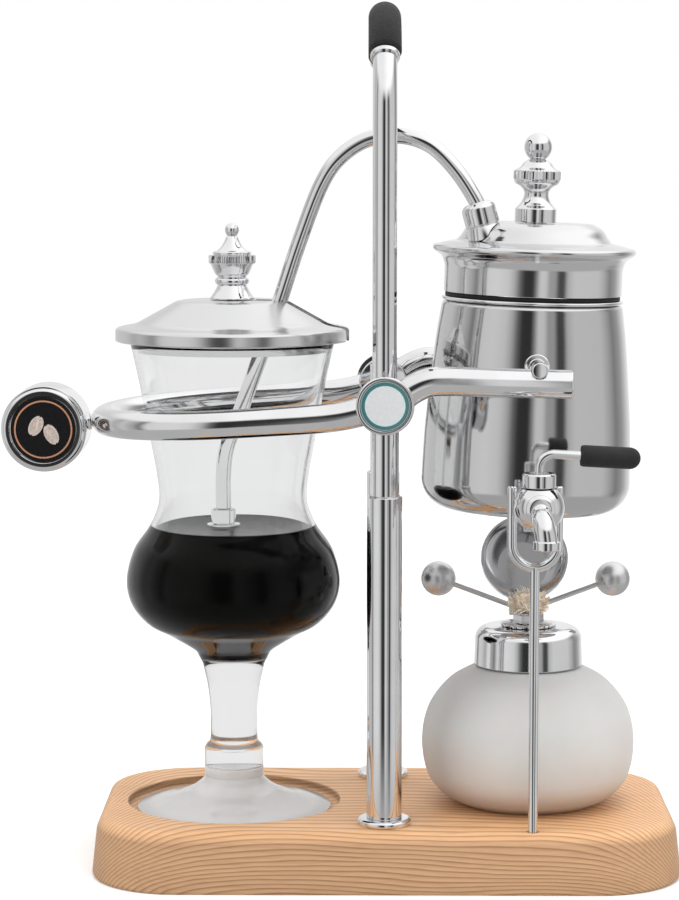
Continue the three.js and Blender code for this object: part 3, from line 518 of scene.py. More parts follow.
# ------------------------------------------------------------------ the stand
def wood_base():
    """The slab: rounded corners, sides that lean in, a rounded top edge and a recess for the glass."""
    low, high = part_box("wood_base")
    middle = (low + high) / 2
    height = (high.z - low.z) / MM
    hx, hy = (high.x - low.x) / 2 / MM, (high.y - low.y) / 2 / MM
    corner, edge = 38, 5
    outline = []
    for cx, cy, start in ((1, 1, 0), (-1, 1, 90), (-1, -1, 180), (1, -1, 270)):
        outline += arc(cx * (hx - corner), cy * (hy - corner), corner, start, start + 90, 32)
    levels = [0, 0.4, 1.0, 1.8, 11] + [height - edge * (1 - sin(radians(a))) for a in range(0, 91, 9)]
    rings = []
    for z in levels:
        over = max(0, (z - (height - edge)) / edge)
        inset = edge * (1 - math.sqrt(max(0, 1 - over * over)))
        foot = max(0, 1.2 * (1 - z / 1.8)) ** 1.4 if z < 1.8 else 0
        lean = z / height
        sx = 1 - (foot + inset + 2.5 * lean - 0.15) / hx
        sy = 1 - (foot + inset + 8 * lean - 0.5) / hy
        sx, sy = min(sx, 1), min(sy, 1)
        rings.append([mm(x * sx, y * sy, z) + Vector((middle.x, middle.y, low.z)) for x, y in outline])
    count = len(outline)
    last = (len(rings) - 1) * count
    slab = solid("base_slab", [v for ring in rings for v in ring],
                 [*between(len(rings), count), tuple(range(count)), tuple(range(last, last + count))])
    recess = [(0, 21), (45.5, 21), *arc(45.5, 23.5, 2.5, -90, 0, 6)[1:], (48, 24),
              *arc(49.2, 24, 1.2, 180, 90, 6), (49.2, 27), (0, 27)]
    pocket = turned("pocket", recess, shift(GLASS_AXIS.x, 0, low.z), 128)
    slab = cut(slab, pocket)
    for _, sign in SIDES:
        socket = [(0, -1), (8, -1), (8, 7.5), (3.3, 7.5), (3.3, 26), (0, 26)]
        slab = cut(slab, turned("socket", socket, shift(0, sign * COLUMN_Y, low.z), 32))
    fork = centre_of("support_fork")
    hole = [(0, 14), (2.4, 14), (2.4, 24.6), (2.9, 25.1), (2.9, 27), (0, 27)]
    return cut(slab, turned("hole", hole, shift(fork.x, fork.y, low.z), 32))


place(wood_base(), "stand", WOOD, "wood_base")

for side, sign in SIDES:
    at = shift(0, sign * COLUMN_Y, 0)
    flange = eased([(3.4, 25), (11.8, 25), (11.8, 27), (10.8, 28), (3.4, 28), (3.4, 25)], 0.5, 4)
    place(turned(f"flange_{side}", flange, at), "stand", CHROME, f"foot_flange_{side}")
    sleeve = eased([(3.3, 28), (7.75, 28), (7.75, 169.4), (7.15, 170), (6.6, 170), (6.6, 40), (3.3, 40),
                    (3.3, 28)], 0.3)
    place(turned(f"sleeve_{side}", sleeve, at), "stand", CHROME, f"column_sleeve_{side}")
    tube = turned(f"tube_{side}", eased([(5.5, 140), (6.2, 140), (6.2, 220), (5.5, 220), (5.5, 140)], 0.2),
                  at)
    cross = turned("cross", plain(3.3, -9, 9), facing(sign, 0, sign * COLUMN_Y, PIVOT_Z), 32)
    place(cut(tube, cross), "stand", CHROME, f"column_tube_{side}")

ARCH_Z = high_of("handle_frame").z - 5.2 * MM - COLUMN_Y
foot_z = low_of("handle_frame").z


def on_arch(degrees):
    """A point on the middle line of the handle's arch, counted from the front column."""
    return (0, -COLUMN_Y * cos(radians(degrees)), ARCH_Z + COLUMN_Y * sin(radians(degrees)))


leg = [(0, -COLUMN_Y, foot_z), (0, -COLUMN_Y, foot_z + 0.4 * MM)]
path = [*leg, *[on_arch(2.5 * i) for i in range(73)], *[(x, -y, z) for x, y, z in reversed(leg)]]
frame_tube = bar("frame_tube", path, [4.9, 5.2, *[5.2] * (len(path) - 4), 5.2, 4.9], 48)
place(frame_tube, "stand", CHROME, "handle_frame")

grip_turn = [40 + 100 * i / 60 for i in range(61)]
grip_radii = [7.2 - 0.9 * max(0, 1 - min(a - 40, 140 - a) / 1.7) ** 2 for a in grip_turn]
place(bar("grip_sleeve", [on_arch(a) for a in grip_turn], grip_radii, 64, bore=5.5), "stand", GRIP_RUBBER,
      "handle_grip")
for side, start, end in (("front", 36.59, 39.63), ("rear", 140.37, 143.41)):
    ring = [on_arch(start + (end - start) * i / 8) for i in range(9)]
    radii = [6.0, 6.3, 6.4, 6.4, 6.4, 6.4, 6.4, 6.3, 6.0]
    place(bar(f"ferrule_{side}", ring, radii, 48, bore=5.25), "stand", CHROME)

fork_at = centre_of("support_fork")
fork_low, fork_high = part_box("support_fork")
half = 9.9 * MM
bend_z = fork_high.z - (176 - 150.7) * MM
tips = fork_high.z - bend_z
prongs = [(-half, tips), (-half, tips - 0.6 * MM), *arc(0, 0, half, 180, 360, 36), (half, tips - 0.6 * MM),
          (half, tips)]
prongs = [(fork_at.x + x, fork_at.y, bend_z + z) for x, z in prongs]
fork = bar("fork", prongs, [1.5, 2.1, *[2.1] * (len(prongs) - 4), 2.1, 1.5], 32)
stem_top = bend_z - half
stem = bar("stem", [(fork_at.x, fork_at.y, fork_low.z), (fork_at.x, fork_at.y, stem_top)], 2.1, 32)
place(join(fork, stem), "stand", CHROME, "support_fork")

for side, sign in SIDES:
    cap_at = facing(sign, 0, sign * 66.6 * MM, PIVOT_Z)
    pin_at = facing(sign, 0, sign * 39.3 * MM, PIVOT_Z)
    place(turned(f"pin_{side}", eased(plain(3, 0, 26.3), 0.3), pin_at, 48), "stand", STEEL_PART,
          f"pivot_pin_{side}")
    rim = [(0, 0), (12.45, 0), (12.45, 2.2), *arc(11.65, 2.2, 0.8, 0, 90, 6), (10.8, 3), (10.8, 1.2),
           (0, 1.2)]
    place(turned(f"cap_{side}", eased(rim, 0.2), cap_at, 128), "stand", CHROME, f"pivot_cap_{side}")
    dome = [(0, 1.5), (10.5, 1.5), (10.5, 2.5),
            *[(10.4 * cos(radians(a)), 2.55 + 0.45 * sin(radians(a))) for a in range(0, 91, 9)]]
    dome[-1] = (0, dome[-1][1])
    place(turned(f"inlay_{side}", dome, cap_at, 128), "stand", ENAMEL, f"pivot_inlay_{side}")


# ------------------------------------------------------------------ the beam
ROD_Y, ROD_R, HUB_R = 60, 6.25, 11
ARM_SLOPE = math.tan(radians(1.5))

# The loop drops from its hubs and then slopes gently down to its far end.
DIP = smooth([(-4, 209.6), (-11, 207.6), (-18, 206), (-26, 204.9), (-36, 204.1)], 6)
LOOP_SLOPE = math.tan(radians(3.3))


def in_loop(x, y):
    """A point of the loop's sloping plane, in metres."""
    return Vector((x * MM, y * MM, (DIP[-1][1] + (x - DIP[-1][0]) * LOOP_SLOPE) * MM))


def hub_room(sign):
    """The room that a hub needs inside the rods."""
    return turned("clear", plain(HUB_R + 0.3, 50.6, 69.2), facing(sign, 0, 0, PIVOT_Z), 64)


def spigot(sign, angle, radius, start, end):
    way = Vector((cos(radians(angle)), 0, sin(radians(angle))))
    middle = Vector((0, sign * ROD_Y * MM, PIVOT_Z))
    return turned("spigot", plain(radius, start, end), pointing(middle, way), 48)


LOOP_ANGLE, RISE_ANGLE = 197, 38
loop_x = -65.3
ring = arc(loop_x, 0, ROD_Y, 270, 90, 96)
front_dip = [mm(x, -ROD_Y, z) for x, z in DIP]
rear_dip = [mm(x, ROD_Y, z) for x, z in reversed(DIP)]
loop = bar("loop_rod", [*front_dip, *[in_loop(x, y) for x, y in ring], *rear_dip], ROD_R, 56)
loop_end = in_loop(loop_x - ROD_Y, 0)
weight = centre_of("weight_badge")
to_weight = (Vector((weight.x, 0, weight.z)) - loop_end).normalized()
stud_at = pointing(loop_end, to_weight)
for _, sign in SIDES:
    loop = cut(loop, hub_room(sign))
    loop = join(loop, spigot(sign, LOOP_ANGLE, 3.7, 6, 14))
loop = cut(loop, turned("bore", plain(2.8, 0, 9), stud_at, 32))
place(loop, "beam", CHROME, "beam_loop")

rise = [(5.5, 212.4), (12, 217.4), (19, 220.4), (27, 220.9), (35, 220.9 - 8 * ARM_SLOPE)]
notch = 3.7
for side, sign in SIDES:
    centre = [*smooth(rise, 8), (80, 220.9 - 53 * ARM_SLOPE)]
    arm_path = [mm(x, sign * ROD_Y, z) for x, z in centre]
    last = (arm_path[-1] - arm_path[-2]).normalized()
    end = arm_path[-1]
    arm_path[-1:] = [end - last * 0.9 * MM, end - last * 0.4 * MM, end - last * 0.1 * MM, end]
    radii = [ROD_R] * (len(arm_path) - 3) + [ROD_R - 0.12, ROD_R - 0.4, ROD_R - 0.9]
    arm = bar(f"arm_rod_{side}", arm_path, radii, 56)
    arm = cut(arm, hub_room(sign))
    groove = turned("groove", plain(notch, ROD_Y - 9, ROD_Y + 9), facing(sign, TRUNNION.x, 0, TRUNNION.z),
                    48)
    arm = cut(arm, groove)
    y = sign * ROD_Y * MM
    arm = cut(arm, block("gap", (TRUNNION.x - notch * MM, y - 9 * MM, TRUNNION.z),
                         (TRUNNION.x + notch * MM, y + 9 * MM, 232 * MM)))
    arm = join(arm, spigot(sign, RISE_ANGLE, 3.7, 6, 14))
    place(arm, "beam", CHROME, f"beam_arm_{side}")

    hub_outline = eased([(3.3, 53.6), (11, 53.6), (11, 66.2), (3.3, 66.2), (3.3, 53.6)], 0.6, 4)
    hub = turned(f"hub_{side}", hub_outline, facing(sign, 0, 0, PIVOT_Z), 96)
    for angle in (LOOP_ANGLE, RISE_ANGLE):
        hub = cut(hub, spigot(sign, angle, 4.0, 5.7, 14))
    place(hub, "beam", CHROME, f"beam_hub_{side}")

stud = eased([(0, 1), (2.5, 1), (2.5, 6.45), (4, 6.45), (4, 20), (0, 20)], 0.25)
WEIGHT_AT = shift(weight.x, 0, weight.z) @ Matrix.Rotation(pi / 2, 4, "X")
half_drum, seat = 14, 12.4
drum = [(0, -half_drum), (16.4, -half_drum), *arc(17.2, 2 - half_drum, 2, -75, 0, 8),
        *arc(17.2, half_drum - 3.2, 2, 0, 35, 6), (18.2, half_drum - 1.9), (18.2, half_drum - 1.5),
        *arc(16.6, half_drum - 1.6, 1.6, 0, 90, 8), (15.3, half_drum), (14.9, half_drum - 0.5),
        (14.9, seat), (0, seat)]
body = turned("drum", drum, WEIGHT_AT, 128)
body = join(body, turned("stud", stud, stud_at, 48))
place(body, "beam", CHROME, "weight_drum")
face = [(0, seat + 0.1), (14.6, seat + 0.1), (14.6, 13.5), (14.4, 13.65), (0, 13.65)]
place(turned("badge_disc", face, WEIGHT_AT, 128), "beam", BADGE, "weight_badge")


def bean(name, length, width, height, place_at):
    """A coffee bean lying flat: a low oval dome with an S-shaped crease down its length."""
    columns, rows = 72, 14
    vertices = []
    for j in range(rows + 1):
        share = sin(pi / 2 * j / rows)
        lift = cos(pi / 2 * j / rows)
        for i in range(columns):
            a = 2 * pi * i / columns
            x, y = length / 2 * share * cos(a), width / 2 * share * sin(a)
            crease = 0.10 * width * sin(2 * pi * x / length)
            away = abs(y - crease) / (0.085 * width)
            z = height * lift * (1 - 0.85 * math.exp(-away * away))
            vertices.append(place_at @ mm(x, y, z))
    underside = tuple(rows * columns + i for i in range(columns))
    return solid(name, vertices, [*between(rows + 1, columns), underside], 60)


for number, x, y, turn in ((1, -3.2, 1.6, 62), (2, 3.6, -2.2, 118)):
    spot = WEIGHT_AT @ Matrix.Translation(mm(x, y, 13.62)) @ Matrix.Rotation(radians(turn), 4, "Z")
    place(bean(f"badge_bean_{number}", 9.6, 5.952, 0.3, spot), "beam", COPPER_METAL)


# ------------------------------------------------------------------ the kettle
def kettle_side(margin):
    """The kettle's wall from the middle of its bottom to its mouth, moved out by a margin."""
    corner = 13
    side = smooth([(46.8, corner), (46.2, 34), (45, 50), (42.5, 76), (40.5, 90.4)], 10)
    side += [(40.4, 91.2), (40.15, 91.9), (39.75, 92.5), (39.2, 92.85), (38.6, 93)]
    return [(0, -margin), *arc(46.8 - corner, corner, corner + margin, -90, 0, 14),
            *[(r + margin, z) for r, z in side[1:]]]


def kettle_solid(margin):
    return turned("clear", [*kettle_side(margin), (0, 93)], KETTLE)


TAP_X, TAP_Y = centre_of("tap_bonnet").x, centre_of("tap_bonnet").y
TAP_Z = low_of("tap_body").z + 10.9 * MM


def rod_y(name, radius, start, end, x=None, z=None, segments=48):
    """A rod along Y between two distances in millimetres."""
    middle = Vector((TAP_X if x is None else x, start * MM, TAP_Z if z is None else z))
    outline = plain(radius, 0, abs(end - start))
    return turned(name, outline, pointing(middle, (0, 1 if end > start else -1, 0)), segments)


shell = turned("shell", [*kettle_side(0), *kettle_side(-1.6)[::-1]], KETTLE, 160)
shell = cut(shell, rod_y("hole", 5.3, -52, -30))
for side, sign in SIDES:
    shell = cut(shell, rod_y("hole", 2.3, sign * 30, sign * 60, TRUNNION.x, TRUNNION.z, 24))
    outline = [(0, 40), (5.5, 40), (5.5, 46.1), (5.1, 46.5), (3.7, 46.5), (3.4, 46.9), (3.4, 66.4),
               *arc(2.8, 66.4, 0.6, 0, 90, 5), (0, 67)]
    trunnion = turned(f"trunnion_rod_{side}", outline, facing(sign, TRUNNION.x, 0, TRUNNION.z), 64)
    trunnion = cut(trunnion, kettle_solid(0.3))
    trunnion = join(trunnion, rod_y("screw", 2, sign * 39, sign * 48, TRUNNION.x, TRUNNION.z, 32))
    place(trunnion, "kettle", CHROME, f"trunnion_{side}")
place(shell, "kettle", KETTLE_STEEL, "kettle_shell", "kettle_bottom")
bead = [(38.3, 93.2), (39.6, 93.2), *arc(39.7, 94.1, 0.85, -80, 80, 8), (39.6, 95), (38.3, 95), (38.3, 93.2)]
place(turned("rim_bead", bead, KETTLE, 160), "kettle", RIM)
seal = eased([(37, 93.3), (38.2, 93.3), (38.2, 95.1), (39, 95.1), (39, 96.7), (37, 96.7), (37, 93.3)], 0.2)
place(turned("seal_ring", seal, KETTLE, 128), "kettle", SEAL_RUBBER, "kettle_seal")

LID_TOP = [(39.6, 97), (39.6, 107.5), *smooth([(39.8, 109.2), (41.2, 112.6), (44.2, 114.7)], 6),
           *arc(43.7, 116.3, 1.6, -40, 80, 10), *smooth([(42.6, 118.1), (38.5, 119.2), (35, 119.9)], 5),
           *smooth([(34.2, 120.4), (32.6, 122.4), (30.2, 125.9), (26, 128.3)], 8)]
lid_inside = [(5.2, 126.9), (25.6, 126.9), (31, 121.4), (33, 118.6), (37.8, 116.6), (37.8, 97), (39.6, 97)]
kettle_lid = turned("lid_dome", [*LID_TOP, (5.2, 128.3), *lid_inside], KETTLE, 160)

AZIMUTH = radians(-8)


def in_plane(s, z):
    """A point of the siphon's upright plane: a distance from the glass's axis, and a height."""
    return Vector((GLASS_AXIS.x + s * cos(AZIMUTH) * MM, s * sin(AZIMUTH) * MM, z * MM))


bend = smooth([(111.7, 288.6), (109.6, 296), (100.5, 310), (89, 321), (75.4, 325.2), (61, 323.6),
               (48.6, 315.6), (40, 303), (30.5, 278.5), (22.2, 253.6)], 14)
drop = smooth([(2.2, 199), (-2.9, 185.5), (-4.4, 173), (-4.4, 163)], 12)
siphon = [in_plane(s, z) for s, z in [*bend, *drop, (-4.4, 150)]]
place(bar("siphon", siphon, 3.5, 40, bore=2.6), "kettle", CHROME, "siphon_tube")

mouth = in_plane(112.4, 286)
lean = (in_plane(109.6, 296) - mouth).normalized()
nut_at = pointing(mouth, lean)
kettle_lid = cut(kettle_lid, turned("hole", plain(3, -14, 0), nut_at, 32))
place(kettle_lid, "kettle", LID_STEEL, "kettle_lid", "lid_collar")


def largest(piece):
    """Keeps only the biggest of a piece's separate solids."""
    work = bmesh.new()
    work.from_mesh(piece.data)
    left, islands = set(work.verts), []
    while left:
        island = [left.pop()]
        for v in island:
            near = {e.other_vert(v) for e in v.link_edges} & left
            left -= near
            island += near
        islands.append(island)
    islands.sort(key=len)
    bmesh.ops.delete(work, geom=[v for island in islands[:-1] for v in island], context="VERTS")
    work.to_mesh(piece.data)
    work.free()
    return piece


def knurl(count, depth, low, high):
    """Fine upright ridges between two heights, for turned()."""
    return lambda a, z: depth * (0.5 - 0.5 * cos(count * a)) if low <= z <= high else 0


nut_outline = [(3.8, -9), (9.0, -9), (8.4, -5), (7.5, -0.5), (7.05, -0.4), (7.05, 0),
               *arc(7.0, 0.7, 0.6, -70, 0, 4), (7.6, 7.0),
               *smooth([(7.5, 7.8), (7.1, 8.7), (6.3, 9.6), (5.3, 10.2)], 4), (4.9, 10.3), (3.8, 10.3),
               (3.8, -9)]
nut = turned("siphon_collar", eased(nut_outline, 0.2), nut_at, 96)
lid_block = turned("clear", [(0, 97), *LID_TOP, (0, 128.3)], shift(-0.15 * MM, 0, 0.32 * MM) @ KETTLE, 96)
place(largest(cut(nut, lid_block)), "kettle", CHROME, "siphon_nut")

FILTER_AT = Matrix.Translation((in_plane(-4.4, 0).x, in_plane(-4.4, 0).y, 0))
filter_nut = [(3.8, 149), (7.5, 149), (7.5, 151), (5.65, 151.5), (5.65, 157.9), (5, 158.5), (3.8, 158.5),
              (3.8, 149)]
place(turned("filter_collar", eased(filter_nut, 0.3), FILTER_AT, 64), "kettle", CHROME, "filter_nut")
filter_outline = [(0, 117.5), (12.5, 117.5), (14, 119), (14, 131), (9.5, 137), (5.5, 139), (5.5, 148.7),
                  (0, 148.7)]
place(turned("filter_head", eased(filter_outline, 0.5), FILTER_AT, 96), "kettle", STEEL_PART, "filter")


# ------------------------------------------------------------------ the tap
def ball(name, radius, centre):
    outline = [(0, -radius), *arc(0, 0, radius, -90, 90, 32)[1:-1], (0, radius)]
    return turned(name, outline, Matrix.Translation(centre), 64)


BALL_AT = Vector((TAP_X, TAP_Y, TAP_Z))
neck = cut(rod_y("tap_tube", 5, -70, -34), ball("clear", 11.5, BALL_AT))
flange = turned("flange", [(0, 40), (8, 40), (8, 51.3), *arc(7.3, 51.3, 0.7, 0, 90, 4), (0, 52)],
                facing(-1, TAP_X, 0, TAP_Z), 64)
neck = join(neck, cut(flange, kettle_solid(0.3)))
place(cut(neck, rod_y("flow", 3, -100, -30)), "kettle", CHROME, "tap_neck")

catch = centre_of("catch_bar")
catch_z = low_of("catch_bar").z + 1.5 * MM
post = turned("post", plain(1.3, 0, 7.3), shift(TAP_X, catch.y, catch_z), 32)
post = cut(post, rod_y("clear", 5.3, -66, -50))
cross = turned("catch_rod", eased(plain(1.5, -5, 5), 0.4),
               shift(64.5 * MM, catch.y, catch_z) @ Matrix.Rotation(pi / 2, 4, "Y"), 32)
place(join(cross, post), "kettle", CHROME, "catch_bar")

top_angle = math.degrees(math.asin(8 / 10.9))
body = [(0, -10.9), *arc(0, 0, 10.9, -88, top_angle - 2.5, 40), (7.35, 7.75), (6.9, 8), (3.6, 8), (3.6, -6),
        (0, -6)]
body = turned("tap_ball", body, Matrix.Translation(BALL_AT), 96)
place(cut(body, rod_y("flow", 3, -100, -30)), "kettle", CHROME, "tap_body")
bonnet = [(2.4, 177.3), (7.15, 177.3), (7.15, 182.6), (6.5, 183.4), (2.4, 183.4), (2.4, 177.3)]
bonnet_at = shift(TAP_X, TAP_Y, 0)
place(turned("bonnet", eased(bonnet, 0.35, 4), bonnet_at, 96, knurl(40, 0.025, 178.2, 181.6)), "kettle",
      CHROME, "tap_bonnet")

tx = TAP_X / MM
elbow = smooth([(tx, -80, 169), (tx + 0.15, -83.5, 168.4), (tx + 0.35, -86.4, 166.2),
                (tx + 0.9, -89.6, 164.2), (tx + 1.6, -92.0, 160.4), (tx + 2.2, -92.5, 156.6),
                (tx + 2.3, -92.5, 152.8)], 10)
spout = bar("spout", [Vector(p) * MM for p in elbow], 4.7, 48)
tip = mm(67.35, -92.5, 0)
ring = turned("ring", [(0, 152.8), (5.2, 152.8), (5.7, 153.3), (5.7, 156.4), (5.1, 157), (0, 157)],
              Matrix.Translation(tip), 64)
root = turned("root", eased([(0, 0), (6.2, 0), (6.2, 2.2), (4.6, 3.2), (0, 3.2)], 0.4),
              pointing((TAP_X, -84 * MM, TAP_Z), (0, -1, 0)), 64)
spout = join(join(spout, ring), root)
spout = cut(spout, turned("bore", [(0, 150), (3.6, 150), (3.2, 158), (0, 158)], Matrix.Translation(tip), 48))
place(cut(spout, ball("clear", 11.5, BALL_AT)), "kettle", CHROME, "tap_spout")

DROOP = math.tan(radians(3))
top = 191.4
knee = arc(tx + 6, 185.4, 6, 180, 90, 16)
reach = (84.6, top - (84.6 - tx - 6) * DROOP)
lever_path = [Vector((u * MM, TAP_Y, w * MM)) for u, w in [(tx, 176), *knee, reach]]
lever = bar("lever_rod", lever_path, 2, 40)
plug = turned("plug", eased(plain(3.3, 163.5, 176.8), 0.3), bonnet_at, 48)
place(join(lever, cut(plug, rod_y("flow", 3, -100, -30))), "lever", CHROME, "tap_lever")
grip = [(2.3, 0), (4.0, 0), (4.3, 0.25), (4.5, 0.8), (4.6, 1.6), (4.6, 20.9), *arc(0, 20.7, 4.6, 4, 90, 16),
        (0, 3), (2.3, 3), (2.3, 0)]
grip_at = pointing(Vector((82.5 * MM, TAP_Y, (top - (82.5 - tx - 6) * DROOP) * MM)), (1, 0, -DROOP))
place(turned("lever_sleeve", grip, grip_at, 64), "lever", LEVER_RUBBER, "lever_grip")


# ------------------------------------------------------------------ the filler stopper
stopper = [(0, 122), (4.4, 122), (4.4, 128.6), (9.25, 128.6), (9.25, 134.4), (8.3, 135.5),
           *smooth([(7.9, 135.8), (6.3, 138), (5.4, 141), (6.2, 143.2), (7.6, 144.6)], 6), (9.6, 145.6),
           (10.2, 146.6), (10.2, 147.4), (10.45, 147.8), (10.45, 151), (10.1, 151.4),
           *smooth([(9.4, 151.8), (7.6, 153), (6.0, 155), (4.0, 156.4)], 6),
           *arc(0, 161.8, 6.2, -58, 90, 24)]
stopper[-1] = (0, 168)
place(turned("stopper_finial", stopper, KETTLE, 192, knurl(48, 0.045, 147.7, 151.1)), "stopper", CHROME,
      "filler_stopper")


# ------------------------------------------------------------------ the brewing glass and the coffee
GLASS_AT = shift(GLASS_AXIS.x, 0, 0)
bowl = [(17.1, 93.6), (20.9, 96.3), (30.4, 102), (39.3, 107), (46.1, 115.6), (48.2, 126.6), (44.8, 140),
        (37.5, 151), (33.4, 162), (34.2, 174), (36.4, 186.5), (40.4, 208), (43.1, 221.6), (45.8, 233.5)]
outside = smooth(bowl, 8)
lip_z = 233.5


def within(thickness):
    """The bowl's outline moved in by a thickness."""
    moved = []
    for i, (r, z) in enumerate(outside):
        before, after = outside[max(i - 1, 0)], outside[min(i + 1, len(outside) - 1)]
        dr, dz = after[0] - before[0], after[1] - before[1]
        run = math.hypot(dr, dz)
        if r - dz / run * thickness > 14.6:
            moved.append((r - dz / run * thickness, min(z + dr / run * thickness, lip_z - 0.6)))
    return moved


WALL = 2.2
inside = within(WALL)
stem = smooth([(13.4, 48.8), (12.6, 50.4), (10.9, 52.6), (10.7, 58), (10.7, 66), (11.4, 74), (12.3, 80),
               (14.1, 88)], 5)
foot = smooth([(43.9, 22.3), (37, 24.3), (30, 26), (24, 28.2), (19, 30.6), (15, 33.6)], 5)
foot_profile = [(0, 23.4), *smooth([(12, 22.9), (30, 21.8), (37, 21.15)], 4), (38, 21), (43.4, 21),
                (43.9, 21.4), *foot, *arc(12.4, 37, 1.0, -60, 0, 4), (13.4, 38.2), (13.4, 40.5),
                *arc(13.2, 41, 0.5, 240, 120, 4), (13.4, 41.5), (0, 41.5)]
place(turned("glass_foot_disc", foot_profile, GLASS_AT, 160, sharp=50), "glass", FOOT_GLASS_PAINTED_REFLECTION, "glass_foot")
profile = [(0, 41.45), (13.2, 41.45), (13.4, 41.8), (13.4, 47.4), *stem, *outside,
           *arc(44.7, 233.0, 0.5, 60, 120, 4), *inside[::-1], (14.2, 93.8), (12.6, 92.8), (0, 92.4)]
place(turned("blown_glass", profile, GLASS_AT, 160, sharp=50), "glass", GLASS, "brewing_glass",
      "glass_funnel")

surface = 150.3
liquid = [(r, z) for r, z in within(0.9) if z < surface - 0.6]
edge = liquid[-1]
liquid += [(edge[0] - 0.1, surface + 0.5), (edge[0] - 1.2, surface + 0.1), (edge[0] - 2.5, surface)]
liquid = [(0, 91.8), (13.6, 91.8), (14.9, 92.3), (15.7, 93.4), *liquid, (0, surface)]
place(turned("black_coffee", liquid, GLASS_AT, 160, sharp=60), "glass", COFFEE)

LID_Z = low_of("glass_lid").z / MM + 4
LID_TOP_Z = high_of("glass_lid").z / MM
LIP = 52.35
crown = LID_TOP_Z - LID_Z
lid_outline = raised([(41.4, -4), (42.6, -4), (42.6, 0), (45.6, 0), (45.6, 1.2), (43, 1.2), (43, 6.5),
                      (LIP - 1.2, 5.1), *arc(LIP - 0.6, 0.9, 0.6, 180, 360, 10), (LIP, 4.6),
                      *smooth([(LIP - 0.1, 5.2), (LIP - 0.7, 6), (LIP - 2.2, 6.5)], 5),
                      *smooth([(48, 6.9), (45, 7.5), (42.6, 8.3), (40.6, 9.4)], 5),
                      *smooth([(27.4, crown - 1.9), (25.2, crown - 0.75), (22.6, crown - 0.2)], 5),
                      (2.4, crown), (2.4, crown - 1.2), (22.8, crown - 1.4), (24.6, crown - 2), (40.8, 7.5),
                      (41.4, 6.9), (41.4, -4)], LID_Z)
lid = turned("lid_shell", lid_outline, GLASS_AT, 160)
slot_turn = GLASS_AT @ Matrix.Rotation(AZIMUTH, 4, "Z")
slot = block("slot", (10.3 * MM, -4.7 * MM, (LID_Z - 10) * MM), (70 * MM, 4.7 * MM, (LID_Z + 30) * MM))
slot.data.transform(slot_turn)
place(cut(lid, slot), "lid", GLASS_LID_STEEL, "glass_lid")
seat = LID_TOP_Z + 0.3
knob = raised([(0, -4.9), (2.1, -4.9), (2.1, 0), (9.9, 0), (10.0, 0.4), (9.7, 0.9),
               *smooth([(9.4, 1.2), (7.9, 3.4), (6.8, 5.6)], 5), (6.6, 5.9),
               *arc(6.0, 8.0, 1.75, -72, 72, 12), (6.4, 9.9),
               *smooth([(6.7, 10.3), (7.7, 11.3), (8.7, 13.4), (9.7, 15.7)], 5), (10.5, 16.2),
               (10.5, 19.2), (10.1, 19.6), (8.6, 19.7),
               *arc(7.9, 20.5, 0.75, -60, 90, 8),
               *smooth([(7.0, 21.4), (5.2, 22.9), (3.7, 25.2), (2.6, 27.6)], 5),
               *arc(0, 30.7, 3.2, -50, 90, 16)], seat)
knob[-1] = (0, seat + 33.9)
place(turned("lid_finial", knob, GLASS_AT, 300, knurl(60, 0.075, seat + 16.0, seat + 19.4)), "lid", CHROME,
      "glass_lid_knob")


# ------------------------------------------------------------------ the spirit lamp
LAMP_AT = shift(LAMP_AXIS.x, LAMP_AXIS.y, 0)
bulge = smooth([(31, 25), (39, 29.4), (45.6, 38), (48, 53), (45, 68), (36, 80), (24, 87)], 14)
hollow = smooth([(28, 28), (36.6, 31.6), (43, 39.6), (45.3, 53), (42.6, 66.6), (34.4, 77.4), (22, 84.6)],
                12)[::-1]
bowl = [(0, 25), *bulge, (20, 87.4), (20, 97), (16, 97), (16, 85.6), *hollow, (0, 28)]
place(turned("lamp_glass", bowl, LAMP_AT, 160, sharp=50), "lamp", FROST, "lamp_base", "lamp_bowl",
      "lamp_shoulder")
cap = [(20.4, 87.7), (24.1, 87.7), (24.5, 88.1), (24.1, 99.2), *arc(18.6, 99.5, 5.5, 4, 90, 14), (4.6, 105),
       (4.6, 103.4), (20.4, 103.4), (20.4, 87.7)]
place(turned("lamp_collar", cap, LAMP_AT, 128), "lamp", CHROME, "lamp_cap")
holder = turned("wick_tube", [(3.2, 105.1), (3.2, 85), (4.2, 85), (4.2, 107), (4.4, 109), (5, 111),
                              (4.2, 111.2), (3.2, 111), (3.2, 105.1)], LAMP_AT, 64)
hexagon = turned("hexagon", eased([(4, 106.5), (6.6, 106.5), (6.9, 106.8), (6.9, 110.1), (6.6, 110.4),
                                   (4, 110.4), (4, 106.5)], 0.2), LAMP_AT, 6)
place(join(holder, hexagon), "lamp", CHROME, "wick_holder")

HY, HZ = HINGE.y / MM, HINGE.z / MM


def at_lamp(x, y, z):
    return Vector((LAMP_AXIS.x + x * MM, y * MM, z * MM))


def lamp_block(low, high):
    return block("block", at_lamp(*low), at_lamp(*high))


def hinge_rod(name, radius, start, end):
    """A rod on the hinge's axis, between two distances from the lamp's middle."""
    outline = eased(plain(radius, start, end), 0.25)
    return turned(name, outline, Matrix.Translation(HINGE) @ Matrix.Rotation(pi / 2, 4, "Y"), 40)


